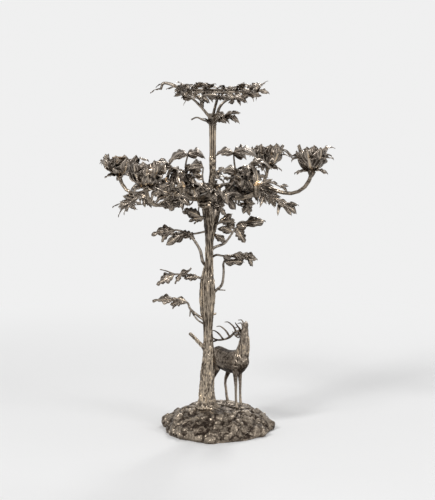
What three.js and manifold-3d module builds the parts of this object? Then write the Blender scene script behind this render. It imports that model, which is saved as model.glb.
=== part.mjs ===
// A tree-shaped table centerpiece in aged silver plate. A stag stands under the tree on a rocky
// mound. Four candle arms lift out of the crown, and a dish basket lifts out of the top.
// Millimetres, +Z up. The origin is on the table, under the middle of the whole spread.
import * as THREE from 'three';
import { mergeVertices } from 'three/addons/utils/BufferGeometryUtils.js';
import Module from 'manifold-3d';

const wasm = await Module();
wasm.setup();

// Fits and hardware shared by all pieces
const CLEAR = 0.3;
const SPRAY_CLEAR = 0.7;
const ROD_RADIUS = 2;
const STUD_RADIUS = 1.6;
const TENON_RADIUS = 2.6;
const NUT_HEIGHT = 4;
const WASHER_HEIGHT = 2;
const WASHER_RADIUS = 10;
const ROD_NUT_RADIUS = 5.5;
const STUD_NUT_RADIUS = 4;
const THREAD_TAIL = 3;

// Mesh fineness: what a finished piece may be simplified by, and the sides of small round forms
const SLIVER = 0.1;
const LEAF_SLIVER = 0.45;
const ROCK_SLIVER = 0.9;
const HIDE_SLIVER = 0.3;
const BORE_SIDES = 10;

// Mound: its slope as shares of the radius and heights, and its lumps as count, depth and phase
const MOUND_RADIUS = 97;
const MOUND_TOP = 40;
const MOUND_WALL = 3.2;
const MOUND_SIDES = 26;
const MOUND_SLOPE = [[1, 0], [0.985, 0.18], [0.92, 0.43], [0.8, 0.68], [0.67, 0.88], [0.56, 1]];
const MOUND_LOBES = [[3, 0.028, 0.6], [7, 0.02, 1.1]];
const MOUND_ROCKS = [[11, 0.022, 2.3], [17, 0.016, -1.7]];

// Boulders bedded in the mound, as rows of count, share of its radius, share of its height and size
const BOULDER_ROWS = [[11, 0.9, 0.22, 17.5], [8, 0.77, 0.56, 16.5], [4, 0.62, 0.82, 14]];
const BOULDER_SPREAD = 0.22;
const BOULDER_SINK = [0.12, 0.3];
const BOULDER_FREE_RADIUS = 56;

// Crown and upper stem, placed from the trunk upwards
const CROWN_X = -11;
const COLLAR_HEIGHT = 15;
const COLLAR_RADIUS = 25;
const COLLAR_SIDES = 12;
const HUB_RADIUS = 18;
const HUB_HEIGHT = 20;
const ROD_X = -15;
const ROD_REACH = 10;
const STEM_X = 2.5;
const LEADER_TOP = 74;
const LEADER = [[0, 0, 10], [-1, 0, 28], [STEM_X - 0.5, 0, 44], [STEM_X, 0, 56], [STEM_X, 0, LEADER_TOP]];
const LEADER_RADII = [8, 5, 5.2, 6.2, 6.4];

// Trunk, in a frame on top of the mound, as rows of height, centre x, centre y and radius. Its
// heights, and those of what grows from it, are percents of the trunk's height.
const TRUNK_HEIGHT = 358.4;
const TRUNK_SIDES = 12;
const TRUNK_ROWS = [
  [0, -19, -4, 20], [1.7, -19, -4, 16.5], [4.5, -20, -4, 13.5], [10.6, -19.5, -4, 12.4],
  [16.7, -18, -3.7, 12.3], [22.9, -16.2, -3, 11.6], [29, -16, -2.2, 9.8], [35.2, -16.5, -1.5, 8.4],
  [40.7, -17, -1, 8.4], [45.8, -17, -0.5, 9.9], [50.8, -16.6, 0, 11.4], [55.8, -15.8, 0, 12.2],
  [60.8, -15.6, 0, 12], [65.8, -16.4, 0, 10], [70.9, -15.4, 0, 7.8], [77, -14.8, 0, 6.9],
  [83.7, -14, 0, 7.1], [88.7, -13, 0, 9.3], [94.3, -11.5, 0, 12.7], [100, CROWN_X, 0, 15.5],
];
const BARK_DEPTH = 0.11;
const BARK_TWIST = 0.05;
const ROOT_FLARE = 0.16;
const ROOT_ROWS = 3;
const ROOTS = 3.5;
const COMPANION_STEM = [[-25, 1, 43.5], [-28.5, 1, 48.8], [-29.5, 0, 57.2], [-28, 0, 64.7], [-21, 0, 72.5]];
const COMPANION_RADII = [2.4, 3.6, 2.4];
const CUT_BRANCHES = [
  { path: [[-18, -1, 27.3], [-27, -3, 31.2], [-38, -4, 34.6], [-50, -5, 37.9]], radii: [4.4, 3] },
  { path: [[-14, 0, 46.3], [-2, -2, 47.7]], radii: [2.4, 1.8] },
];

// Crown branches, in a frame at the crown's seat whose x runs out from its middle. Each ends in
// a square socket that takes the peg of a candle arm.
const SOCKET_REACH = 92;
const SOCKET_MOUTH = 28;
const SOCKET_DEPTH = 16;
const SOCKET_FLOOR = 3;
const SOCKET_WALL = 1.8;
const PEG_HALF = 2.6;
const PEG_LENGTH = 14;
const BRANCH_RISE = [[9, 0, 9], [32, 0, 6.5], [58, 0, 5.5], [78, 0, 10]];
const BRANCH_RADII = [6.5, 5, 4.4, 4];

// Candle arms, in a frame at the mouth of their socket. Bend lifts or drops the far end.
const ARM_REACH = 108;
const ARM_RISE = 25;
const ARM_SWEEP = [[0, 0, 7], [13, 0, 3.5], [32, 0, -5.5], [54, 0, -11.5], [74, 0, -12], [92, 0, -4],
  [104, 0, 11]];
const ARM_RADII = [3.9, 3.8, 3.4, 3.6];
const ARM_STEPS = 9;
const SHOULDER_RADIUS = 6;
const SHOULDER_HEIGHT = 5;
const BOSS_RADIUS = 5;
const BOSS_HEIGHT = 5;
const ARMS = [
  { side: 'right', azimuth: 328, bend: 4 },
  { side: 'back', azimuth: 58, bend: -4 },
  { side: 'left', azimuth: 148, bend: -16 },
  { side: 'front', azimuth: 238, bend: -20 },
];

// Candle sockets, leaf cups and drip leaves, in a frame at the arm's end
const CANDLE_RADIUS = 11.3;
const CANDLE_DEPTH = 20;
const CANDLE_WALL = 1.5;
const CANDLE_FLOOR = 1.5;
const NOZZLE_FOOT = 9;
const SPIGOT_LENGTH = 4;
const ROSETTE_FOOT = 5.5;
const DRIP_THICK = 1.4;
const DRIP_LEAVES = 5;
const DRIP_TIP = [[15, 2.2], [27, -6]];
const DRIP_GAP = [[9, 1.6], [11, 1.2]];
const CUP_FLOOR = 1.2;
const CUP_WALL = 1.5;
const CUP_PETALS = 5;
const CUP_RIDGE = [[16.4, 11], [18.5, 23], [25, 36]];
const CUP_VALLEY = [[15.6, 11], [16.8, 19], [18.4, 26]];

// Upper stem, in a frame on top of the leader
const STEM_LENGTH = 57;
const STEM_RADII = [6.4, 5.4, 5.8, 6.2];
const STEM_FLUTES = 8;
const STEM_FLUTE_DEPTH = 0.16;
const STEM_PEG_LENGTH = 20;
const STEM_PEG_HALF = 2.7;
const TENON_LENGTH = 9;

// Dish basket, in a frame on top of the upper stem
const BASKET_CUP_HEIGHT = 21;
const CUP_SIDES = 10;
const BASKET_CUP_RADII = [7.2, 10];
const BOWL_DEPTH = 8;
const BOWL_FLOOR = 4;
const BOWL_WALL = 1.6;
const RING_X = 12;
const RING_RADIUS = 65;
const RING_WIDTH = 6;
const RING_LEDGE = 3;
const LEDGE_DROP = 2.4;
const RING_BOTTOM = 56;
const RING_HEIGHT = 4;
const RING_SIDES = 20;

// Stag, in its own frame: x forward, y to its left, z up from the mound's top. The body's rows
// are x, z, half width and half height.
const STAG_PLACE = [23.9, 18.3];
const STAG_HEADING = -50;
const STAG_BARREL = [
  [-50, 88, 3, 7], [-46, 86, 11.5, 16], [-37, 84, 15, 20], [-24, 82, 15, 20], [-8, 80, 15.5, 20.5],
  [8, 80.5, 16, 21.5], [22, 82.5, 15.5, 23], [33, 84, 13, 20], [40, 80, 8, 12], [43, 79, 3, 4],
];
const STAG_NECK = [
  [26, 88, 10.5, 17], [32, 102, 9.5, 15], [36, 115, 8.4, 12.5], [37, 128, 7.4, 10.5], [36, 138, 6.5, 8],
];
const STAG_HEAD = [
  [33.5, 128, 6, 6], [35, 134, 7.2, 8.6], [36.8, 141, 6.8, 7.6], [38.6, 148, 4.8, 5.4], [39.8, 154, 4, 4.4],
  [40.4, 157, 3.2, 3.4],
];
const HEAD_TURN = 1;
const EAR = {
  base: [34, 5.5, 136], azimuth: 105, elevation: -4, length: 14, kind: 'plain', roll: 60, curl: 20,
};
const TAIL = { base: [-47, 0, 92], azimuth: 180, elevation: -50, length: 13, kind: 'plain', curl: 10 };
const FRONT_LEG = [[0, 0, 78], [-1.5, 0, 58], [0, 0, 34], [-0.5, 0, 28], [0.5, 0, 8], [3, 0, 0]];
const FRONT_LEG_RADII = [8.5, 5, 3.3, 2.5, 2.3, 3.4];
const HIND_LEG = [[2, 0, 84], [7, 0, 64], [-5, 0, 38], [-3.5, 0, 30], [0, 0, 9], [3, 0, 0]];
const HIND_LEG_RADII = [13, 8.5, 3.7, 2.8, 2.4, 3.5];
const HOOF_ROOM = 10;
const LEGS = [
  { at: [25, -9], hind: false, stud: true },
  { at: [15, 10], hind: false, stud: false },
  { at: [-37, -9], hind: true, stud: false },
  { at: [-24, 11], hind: true, stud: true },
];
const ANTLER_ROOT = [31, 4, 140];
const ANTLER_BEAM = [[0, 0, 0], [-9, 5, -2], [-18, 11, -12], [-28, 18, -17], [-40, 24, -18], [-50, 29, -12]];
const ANTLER_BEAM_RADII = [2.4, 2.2, 1.9, 1.2];
const ANTLER_TINES = [
  [[-2, 1, 0], [2, 6, 7], [-2, 9, 13]],
  [[-8, 4, -2], [-14, 9, 9], [-23, 12, 15]],
  [[-18, 11, -11], [-26, 17, -1], [-36, 21, 6]],
  [[-28, 18, -16], [-37, 23, -9], [-48, 26, -4]],
  [[-38, 23, -18], [-46, 26, -22], [-54, 27, -20]],
];
const ANTLER_TINE_RADII = [1.7, 1.5, 0.6];

// Leaves and twigs. A leaf shape has shares of the length and half widths as shares of it.
const TWIG_SIDES = 4;
const AXIS_SAMPLES = 100;
const TIP_LEAF = 0.96;
const FIRST_LEAF = 0.3;
const LEAF_THICK = 1.7;
const LEAF_CURL = 50;
const LEAF_ROLL = 25;
const LEAF_TILT = 50;
const LEAF_RISE = 25;
const LEAF_SHAPES = {
  lobed: [[0, 0.04], [0.24, 0.27], [0.42, 0.17], [0.66, 0.32], [1, 0]],
  plain: [[0, 0.04], [0.3, 0.24], [0.62, 0.27], [1, 0]],
};

// Twigs that grow from the trunk, in its frame, with heights as percents. Each has its path and
// end radii, and may have a number of leaves, their length, and the share of the path where the
// first one grows.
const TRUNK_SPRAYS = {
  trunk_spray_left_1: {
    twigs: [
      { path: [[-12, 0, 94.3], [-26, -9, 96], [-40, -11, 97.4]], radii: [2.4, 1.4], leaves: 1, length: 31 },
    ],
  },
  trunk_spray_left_2: {
    twigs: [
      { path: [[-16, 0, 70.9], [-26, -3, 73.7], [-31, -4, 79.5], [-44, -5, 85.4], [-58, -7, 88.4],
        [-76, -8, 89.6], [-94, -8, 88.4]], radii: [3.4, 1.3],
        leaves: 4, length: 32, spread: 35, droop: 18, from: 0.56 },
      { path: [[-14, 0, 89.3], [-30, -4, 88.2], [-46, -6, 87.6], [-57, -7, 88.4]], radii: [2, 1.4] },
    ],
  },
  trunk_spray_left_3: {
    twigs: [
      { path: [[-18, 0, 64.7], [-30, -3, 65.6], [-52, -5, 67.2], [-76, -6, 67.5]], radii: [2.8, 1.6] },
      { path: [[-75, -6, 67.5], [-90, -8, 69.2], [-102, -8, 70]], radii: [1.4, 1] },
    ],
    leaves: [
      { base: [-38, -4, 66.1], azimuth: 190, elevation: -28, length: 28, kind: 'plain' },
      { base: [-76, -6, 67.2], azimuth: 185, elevation: -42, length: 34 },
      { base: [-76, -6, 67.5], azimuth: 10, elevation: 42, length: 28, roll: 180 },
    ],
  },
  trunk_spray_left_4: {
    twigs: [
      { path: [[-18, 0, 43.5], [-32, -3, 46], [-48, -5, 49.9], [-54, -5, 53.3], [-70, -6, 54.7],
        [-84, -6, 54.1], [-98, -7, 53.9]], radii: [2.8, 1.2],
        leaves: 3, length: 26, spread: 30, droop: 12, from: 0.62 },
      { path: [[-18, 0, 41.3], [-36, -3, 44.6], [-48, -5, 49.7]], radii: [1.8, 1.4] },
      { path: [[-48, -5, 49.9], [-49.5, -6, 46.3]], radii: [1.6, 1] },
    ],
  },
  trunk_spray_right_1: {
    twigs: [
      { path: [[-12, 0, 91], [4, -8, 93.2], [14, -10, 94.3]], radii: [2.4, 1.4],
        leaves: 1, length: 28, droop: -20 },
    ],
  },
  trunk_spray_right_2: {
    twigs: [
      { path: [[-14, 0, 77.6], [-6, -2, 80.6], [12, -4, 82.9], [24, -5, 87.1], [32, -6, 90.4],
        [46, -7, 91.8]],
        radii: [3, 1.3] },
    ],
    leaves: [
      { base: [45, -7, 91.8], azimuth: 352, elevation: 14, length: 46, roll: 60 },
      { base: [38, -6, 91], azimuth: 330, elevation: -72, length: 27, kind: 'plain', roll: 40 },
      { base: [28, -5, 88.7], azimuth: 205, elevation: -10, length: 20, kind: 'plain' },
    ],
  },
  trunk_spray_right_3: {
    twigs: [
      { path: [[-12, 0, 56.9], [-2, -2, 59.4], [8, -4, 62.5], [11, -5, 68.4], [11, -5, 73.4], [22, -6, 76.5],
        [36, -7, 77.6], [52, -7, 77], [64, -8, 75.6]], radii: [2.8, 1.2],
        leaves: 4, length: 32, spread: 35, droop: 16, from: 0.62 },
      { path: [[-14, 0, 74.8], [-3, -3, 77], [8, -5, 76.7], [22, -6, 76.5]], radii: [2.2, 1.6] },
      { path: [[-1, -2, 59.7], [14, -4, 59.4]], radii: [1.4, 1] },
    ],
  },
};

// Leafy sprays soldered to the crown's branches, in the crown's frame, each on the branch it
// names. The first twig starts on that branch's axis.
const CROWN_SPRAYS = {
  crown_spray_left_low: {
    on: 'left',
    twigs: [
      { path: [[-29, 18, 8], [-51, 4, 10], [-75, -6, 22], [-93, -12, 26]], radii: [3, 1.6],
        leaves: 4, length: 48, spread: 52, droop: 50 },
      { path: [[-51, 4, 10], [-65, -18, 10], [-75, -34, 6]], radii: [2, 1.4],
        leaves: 1, length: 46, spread: 50, droop: 60 },
    ],
  },
  crown_spray_left_high: {
    on: 'left',
    twigs: [
      { path: [[-19, 12, 10], [-35, 4, 28], [-49, -8, 48], [-73, -16, 60]], radii: [3, 1.6],
        leaves: 3, length: 50, spread: 55, droop: 50 },
      { path: [[-43, -3, 40], [-45, -10, 60], [-41, -16, 80]], radii: [2, 1.4] },
    ],
    leaves: [
      { base: [-41, -16, 79], azimuth: 175, elevation: 20, length: 42, roll: -40 },
      { base: [-41, -16, 79], azimuth: 355, elevation: 18, length: 38, roll: 40 },
      { base: [-45, -10, 60], azimuth: 20, elevation: -20, length: 34, roll: 50 },
    ],
  },
  crown_spray_right_low: {
    on: 'right',
    twigs: [
      { path: [[43, -27, 8], [59, -14, 9], [75, -6, 16], [87, -2, 16]], radii: [3, 1.6],
        leaves: 4, length: 48, spread: 50, droop: 56 },
      { path: [[53, -19, 8], [61, -26, -1], [63, -30, -8]], radii: [2, 1.4],
        leaves: 1, length: 34, droop: 60 },
    ],
  },
  crown_spray_right_high: {
    on: 'right',
    twigs: [
      { path: [[25, -16, 10], [37, -6, 28], [51, 0, 48], [73, 2, 64]], radii: [3, 1.6],
        leaves: 4, length: 50, spread: 55, droop: 54 },
      { path: [[45, -3, 40], [41, -10, 62], [39, -16, 82]], radii: [2, 1.4] },
    ],
    leaves: [
      { base: [39, -16, 81], azimuth: 350, elevation: 26, length: 40, roll: 40 },
      { base: [39, -16, 81], azimuth: 185, elevation: 20, length: 36, roll: -40 },
      { base: [45, -4, 42], azimuth: 300, elevation: -10, length: 42, roll: 30 },
    ],
  },
  crown_spray_front: {
    on: 'front',
    twigs: [
      { path: [[-15, -24, 8], [-3, -36, 11], [13, -44, 14], [27, -50, 12]], radii: [3, 1.6],
        leaves: 4, length: 42, spread: 55, droop: 46 },
      { path: [[-3, -36, 10], [5, -40, 0], [11, -44, -10]], radii: [1.8, 1.3],
        leaves: 1, length: 34, droop: 56 },
    ],
  },
  crown_spray_back: {
    on: 'back',
    twigs: [
      { path: [[17, 29, 8], [3, 44, 12], [-15, 56, 22], [-29, 62, 24]], radii: [3, 1.6],
        leaves: 3, length: 48, spread: 50, droop: 50 },
      { path: [[3, 44, 13], [5, 56, 32], [11, 66, 44]], radii: [2, 1.4],
        leaves: 1, length: 34, spread: 45, droop: 40 },
    ],
  },
};

// Leafy sprays on the candle arms, in the arm's own frame. The first twig starts on the arm's
// axis, and the others fork from its second point.
const ARM_SPRAYS = {
  right: {
    tilt: LEAF_TILT,
    twigs: [
      { path: [[12, 0, 3], [12, -5, -1], [21, -7, 6], [36, -8, 7], [54, -7, 0]], radii: [1.9, 1.2],
        leaves: 1, length: 22, spread: 25, droop: 8 },
      { path: [[12, -5, -1], [20, -9, -12], [32, -11, -24], [46, -11, -34]], radii: [2, 1.2],
        leaves: 3, length: 27, spread: 55, droop: 22 },
    ],
  },
  back: {
    tilt: LEAF_TILT,
    twigs: [
      { path: [[34, 0, -5], [34, -5, -9], [40, -8, 0], [54, -9, 6]], radii: [1.9, 1.2],
        leaves: 2, length: 26, spread: 45, droop: 10 },
      { path: [[34, -5, -9], [44, -8, -18], [58, -9, -26]], radii: [2, 1.2],
        leaves: 2, length: 26, spread: 45, droop: 26 },
    ],
  },
  left: {
    tilt: -LEAF_TILT,
    twigs: [
      { path: [[56, 0, -19], [56, 5, -23], [48, 7, -31], [40, 7, -38]], radii: [1.8, 1.2],
        leaves: 1, length: 24, spread: 40, droop: 24 },
      { path: [[56, 5, -23], [65, 7, -33], [78, 7, -42], [88, 5, -46]], radii: [2, 1.2],
        leaves: 3, length: 28, spread: 55, droop: 24 },
    ],
  },
  front: {
    tilt: -LEAF_TILT,
    twigs: [
      { path: [[34, 0, -10], [34, 5, -14], [39, 8, -5], [50, 9, 2]], radii: [1.9, 1.2],
        leaves: 2, length: 26, spread: 45, droop: 10 },
      { path: [[34, 5, -14], [42, 8, -24], [54, 9, -33], [62, 8, -38]], radii: [2, 1.2],
        leaves: 3, length: 27, spread: 55, droop: 24 },
    ],
  },
};

// What some leaf cups have beside their petals, in the cup's own frame
const CUP_EXTRAS = {
  right: {
    twigs: [
      { path: [[-17, -2, 24], [-34, -4, 21], [-48, -2, 31], [-60, 0, 33], [-74, 2, 24]], radii: [1.5, 1] },
    ],
    leaves: [{ base: [18, 7, 28], azimuth: 22, elevation: 42, length: 27, kind: 'plain', curl: 95 }],
  },
  left: {
    twigs: [],
    leaves: [
      { base: [17, 2, 26], azimuth: 8, elevation: 30, length: 20, curl: 70 },
      { base: [-15, -9, 24], azimuth: -148, elevation: 18, length: 34, curl: 30 },
    ],
  },
};

// Branches that carry the basket's ring, by heading, with the points between cup and ring, and
// the headings and elevations of the leaves that grow from the last of those points
const BASKET_BRANCHES = {
  left: { azimuth: 180, middle: [[-17.5, 0, 29], [-33.5, 0, 45]], leaves: [[215, -8], [150, -4]] },
  right: { azimuth: 0, middle: [[14.5, 0, 35], [32.5, 0, 47]], leaves: [[325, -8], [30, -4]] },
  front: { azimuth: 270, middle: [[4.5, -24, 33], [8.5, -46, 47]], leaves: [[215, -8], [330, -8]] },
  back: { azimuth: 90, middle: [[4.5, 24, 33], [8.5, 46, 47]], leaves: [[145, -4], [40, -8]] },
};
const BASKET_BRANCH_RADII = [2.6, 2];
const BASKET_BRANCH_LOW = 15;
const BASKET_LEAF = 30;
const STEM_SPRAY = {
  twigs: [
    { path: [[0, 0, 4], [14.5, -3, 11], [26.5, -4, 16]], radii: [2.2, 1.4],
      leaves: 2, length: 22, spread: 35, droop: 6 },
    { path: [[0, 0, 4], [-15.5, -2, 9], [-27.5, -2, 14], [-37.5, -2, 10]], radii: [1.8, 1.3] },
  ],
};

// Leafy twigs soldered round the ring, from one heading to another, in a frame on top of it.
// Some also carry a free twig, whose path starts at a heading on the ring.
const RING_TWIG_LIFT = 2.2;
const RING_TWIG_RADII = [1.8, 1.4];
const RING_LEAVES = { length: 30, spread: 70, droop: 42 };
const RING_TWIG_REACH = 2;
const RING_TWIG_SPANS = 4;
const BASKET_SPRAYS = {
  left: { from: 215, to: 153, leaves: 3, heading: 190, radii: [2.4, 1.1],
    free: [[-12, 2, 4], [-30, 6, 9], [-44, 8, 10], [-48, 8, -4]] },
  right: { from: 319, to: 398, leaves: 4, heading: 5, radii: [1.8, 1],
    free: [[6, -2, 6], [15, -4, 13]] },
  front: { from: 229, to: 305, leaves: 4 },
  back: { from: 131, to: 70, leaves: 4 },
};

// Materials
const agedSilver = (color, roughness) => new THREE.MeshStandardMaterial({ color, roughness, metalness: 1 });
const MATERIALS = {
  cast: () => agedSilver(0x7d766c, 0.42),
  bark: () => agedSilver(0x857a69, 0.45),
  leaf: () => agedSilver(0x76706a, 0.4),
  fitting: () => agedSilver(0x8c7355, 0.38),
  steel: () => agedSilver(0x6a6a6c, 0.5),
};

const radians = THREE.MathUtils.degToRad;
const point = (p) => new THREE.Vector3(p[0], p[1], p[2]);

// Rings of points joined in turn. The ends are closed flat, or the last ring meets the first.
function skin(rings, looped = false) {
  const sides = rings[0].length;
  const index = [];
  const joins = looped ? rings.length : rings.length - 1;
  for (let ring = 0; ring < joins; ring++) {
    const low = ring * sides;
    const high = ((ring + 1) % rings.length) * sides;
    for (let side = 0; side < sides; side++) {
      const next = (side + 1) % sides;
      index.push(low + side, low + next, high + next, low + side, high + next, high + side);
    }
  }
  const last = (rings.length - 1) * sides;
  for (let side = 1; !looped && side + 1 < sides; side++) {
    index.push(0, side + 1, side, last, last + side, last + side + 1);
  }
  const geometry = new THREE.BufferGeometry();
  const places = rings.flat().flatMap((p) => p.toArray());
  geometry.setAttribute('position', new THREE.Float32BufferAttribute(places, 3));
  geometry.setIndex(index);
  return geometry;
}

// A closed geometry as a solid, with merged corners and its faces turned outwards
function solid(geometry) {
  const bare = geometry.clone();
  bare.deleteAttribute('normal');
  bare.deleteAttribute('uv');
  const merged = mergeVertices(bare, 1e-3);
  const places = merged.attributes.position;
  const index = merged.index.array;
  const faces = [];
  let volume = 0;
  for (let i = 0; i < index.length; i += 3) {
    const [a, b, c] = [index[i], index[i + 1], index[i + 2]];
    if (a === b || b === c || c === a) continue;
    faces.push(a, b, c);
    const corners = [a, b, c].map((k) => new THREE.Vector3().fromBufferAttribute(places, k));
    volume += corners[0].dot(corners[1].cross(corners[2]));
  }
  if (volume < 0) faces.reverse();
  return new wasm.Manifold(new wasm.Mesh({
    numProp: 3, vertProperties: new Float32Array(places.array), triVerts: new Uint32Array(faces),
  }));
}

// A named mesh from a solid
function piece(name, material, body, sliver = SLIVER) {
  const mesh = body.asOriginal().simplify(sliver).getMesh();
  const geometry = new THREE.BufferGeometry();
  geometry.setAttribute('position', new THREE.Float32BufferAttribute(mesh.vertProperties, 3));
  geometry.setIndex(Array.from(mesh.triVerts));
  geometry.computeVertexNormals();
  const result = new THREE.Mesh(geometry, material());
  result.name = name;
  return result;
}

const unite = (bodies) => bodies.reduce((whole, body) => whole.add(body));
const curveOf = (path) => new THREE.CatmullRomCurve3(path.map(point), false, 'catmullrom', 0.5);

// The value at share t along a list of evenly spaced values
function along(values, t) {
  const place = Math.min(t, 1) * (values.length - 1);
  const low = Math.min(Math.floor(place), values.length - 2);
  return THREE.MathUtils.lerp(values[low], values[low + 1], place - low);
}

// A round tube along a smooth path, with its radius changing from end to end. Unless it has a
// number of steps, it has one for each span of the path.
function tube(path, radii, sides, grow, steps = path.length - 1) {
  const curve = curveOf(path);
  const frames = curve.computeFrenetFrames(steps, false);
  const rings = [];
  for (let step = 0; step <= steps; step++) {
    const share = step / steps;
    const centre = steps === path.length - 1 ? curve.getPoint(share) : curve.getPointAt(share);
    const radius = along(radii, step / steps) + grow;
    if (step === 0) centre.addScaledVector(frames.tangents[0], -grow);
    if (step === steps) centre.addScaledVector(frames.tangents[steps], grow);
    rings.push(Array.from({ length: sides }, (_, side) => {
      const turn = (2 * Math.PI * side) / sides;
      return centre.clone()
        .addScaledVector(frames.normals[step], radius * Math.cos(turn))
        .addScaledVector(frames.binormals[step], radius * Math.sin(turn));
    }));
  }
  return solid(skin(rings));
}

// A profile of radius and height turned about the upright line through x, y
function turned(profile, sides, x = 0, y = 0) {
  const outline = profile.map((p) => new THREE.Vector2(p[0], p[1]));
  const geometry = new THREE.LatheGeometry(outline, sides);
  geometry.rotateX(Math.PI / 2);
  return solid(geometry).translate([x, y, 0]);
}

const cylinder = (radius, low, high, sides = BORE_SIDES, x = 0, y = 0) => turned(
  [[0, low], [radius, low], [radius, high], [0, high]], sides, x, y);

// One leaf: a thin blade with a raised midrib, curling down along its length
function leaf({ base, azimuth, elevation, length, roll = 0, kind = 'lobed', curl = LEAF_CURL }) {
  const heading = new THREE.Vector3(
    Math.cos(radians(elevation)) * Math.cos(radians(azimuth)),
    Math.cos(radians(elevation)) * Math.sin(radians(azimuth)),
    Math.sin(radians(elevation)));
  const normal = new THREE.Vector3(0, 0, 1).addScaledVector(heading, -heading.z).normalize();
  normal.applyAxisAngle(heading, radians(roll));
  const side = heading.clone().cross(normal);
  const bend = radians(curl);
  const rings = LEAF_SHAPES[kind].map(([share, halfWidth]) => {
    const turn = bend * share;
    const middle = point(base)
      .addScaledVector(heading, (length * Math.sin(turn)) / bend)
      .addScaledVector(normal, (-length * (1 - Math.cos(turn))) / bend);
    const up = normal.clone().multiplyScalar(Math.cos(turn)).addScaledVector(heading, Math.sin(turn));
    const half = halfWidth * length;
    const rib = share === 1 ? 0 : LEAF_THICK;
    return [
      middle.clone().addScaledVector(up, rib),
      middle.clone().addScaledVector(side, half),
      middle.clone().addScaledVector(side, -half),
    ];
  });
  return solid(skin(rings));
}

// The leaves of one twig, on the sides that hands gives in turn, with one more at its tip. Tilt
// turns the faces of those that point along x towards the front.
const HANDS = [1, -1];

function twigLeaves({
  path, leaves = 0, length, spread = 45, droop = 20, from = FIRST_LEAF, hands = HANDS, tilt = 0,
}) {
  if (!length) return [];
  const curve = curveOf(path);
  const grown = [];
  for (let i = 0; i <= leaves; i++) {
    const tip = i === leaves;
    const t = tip ? TIP_LEAF : from + ((1 - from) * i) / leaves;
    const way = curve.getTangent(t);
    const rise = THREE.MathUtils.radToDeg(Math.asin(way.z));
    const turn = THREE.MathUtils.radToDeg(Math.atan2(way.y, way.x));
    const hand = tip ? (hands[0] + hands[1]) / 4 : hands[i % 2];
    const azimuth = turn + hand * spread;
    grown.push({
      base: curve.getPoint(t).toArray(),
      azimuth,
      elevation: rise * 0.5 - droop * (tip ? 0.4 : 1) + LEAF_RISE,
      length: length * (1 - 0.12 * (i % 3)),
      roll: hand * LEAF_ROLL + tilt * Math.cos(radians(azimuth)),
    });
  }
  return grown;
}

// A spray of twigs and leaves, soldered up as one piece
function spray({ twigs, leaves = [], tilt = 0 }) {
  const stems = twigs.map(({ path, radii }) => tube(path, radii, TWIG_SIDES, 0));
  const blades = twigs.flatMap((twig) => twigLeaves({ ...twig, tilt })).concat(leaves).map(leaf);
  return unite(stems.concat(blades));
}

// The point of a path's curve that lies nearest to a place
function nearestOn(path, place) {
  const target = point(place);
  const points = curveOf(path).getSpacedPoints(AXIS_SAMPLES);
  const nearest = points.reduce((best, p) => (p.distanceTo(target) < best.distanceTo(target) ? p : best));
  return nearest.toArray();
}

// A growth whose first twig starts on the axis of what carries it
function rooted(growth, axis) {
  const [first, ...others] = growth.twigs;
  const path = [nearestOn(axis, first.path[0]), ...first.path.slice(1)];
  return { ...growth, twigs: [{ ...first, path }, ...others] };
}

const wave = (rows, turn, phase = 0) => rows.reduce(
  (sum, [count, depth, shift]) => sum + depth * Math.sin(count * turn + (phase ? shift * phase : shift)), 0);

// The mound's outer skin, or the hollow inside its wall
function moundShell(inset) {
  const rings = MOUND_SLOPE.map(([share, rise], level) => Array.from({ length: MOUND_SIDES }, (_, side) => {
    const turn = (2 * Math.PI * side) / MOUND_SIDES;
    const rocks = inset || !level ? 0 : wave(MOUND_ROCKS, turn, level);
    const radius = MOUND_RADIUS * share * (1 + wave(MOUND_LOBES, turn) + rocks) - inset;
    return new THREE.Vector3(radius * Math.cos(turn), radius * Math.sin(turn), MOUND_TOP * rise - inset);
  }));
  const top = new THREE.Vector3(0, 0, MOUND_TOP - inset);
  rings.push(Array.from({ length: MOUND_SIDES }, () => top));
  return solid(skin(rings));
}

const trunkFoot = MOUND_TOP + CLEAR;
const crownSeat = trunkFoot + TRUNK_HEIGHT + CLEAR + COLLAR_HEIGHT;
const hubFoot = CLEAR;
const ceiling = MOUND_TOP - MOUND_WALL - CLEAR;
const nutTop = ceiling - WASHER_HEIGHT - CLEAR;
const rodBore = (low, high, x) => cylinder(ROD_RADIUS + CLEAR, low, high, BORE_SIDES, x, 0);

// Where a leg meets the mound, in the part's frame
function footPlace(leg) {
  const heading = radians(STAG_HEADING);
  const foot = leg.hind ? HIND_LEG.at(-1) : FRONT_LEG.at(-1);
  const forward = leg.at[0] + foot[0];
  return [
    STAG_PLACE[0] + forward * Math.cos(heading) - leg.at[1] * Math.sin(heading),
    STAG_PLACE[1] + forward * Math.sin(heading) + leg.at[1] * Math.cos(heading),
  ];
}

// The boulders, each turned and sized in its own way, and cut flush with the mound's foot and top
function boulders() {
  const lump = ([count, share, rise, size], row, index) => {
    const turn = (2 * Math.PI * (index + row / 2)) / count;
    const radius = size * (1 + BOULDER_SPREAD * Math.sin(7 * turn + 3 * row));
    const reach = MOUND_RADIUS * share * (1 + wave(MOUND_LOBES, turn)) - BOULDER_SINK[0] * radius;
    return solid(new THREE.IcosahedronGeometry(radius, 0))
      .rotate([40 * index, 25 * index + 30 * row, 70 * index])
      .translate([reach * Math.cos(turn), reach * Math.sin(turn), MOUND_TOP * rise - BOULDER_SINK[1] * size]);
  };
  const lumps = BOULDER_ROWS.flatMap(
    (rock, row) => Array.from({ length: rock[0] }, (_, index) => lump(rock, row, index)));
  const below = cylinder(2 * MOUND_RADIUS, -2 * MOUND_TOP, 0);
  const above = cylinder(BOULDER_FREE_RADIUS, MOUND_TOP, 2 * MOUND_TOP, 2 * BORE_SIDES);
  return unite(lumps).subtract(below).subtract(above);
}

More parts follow.
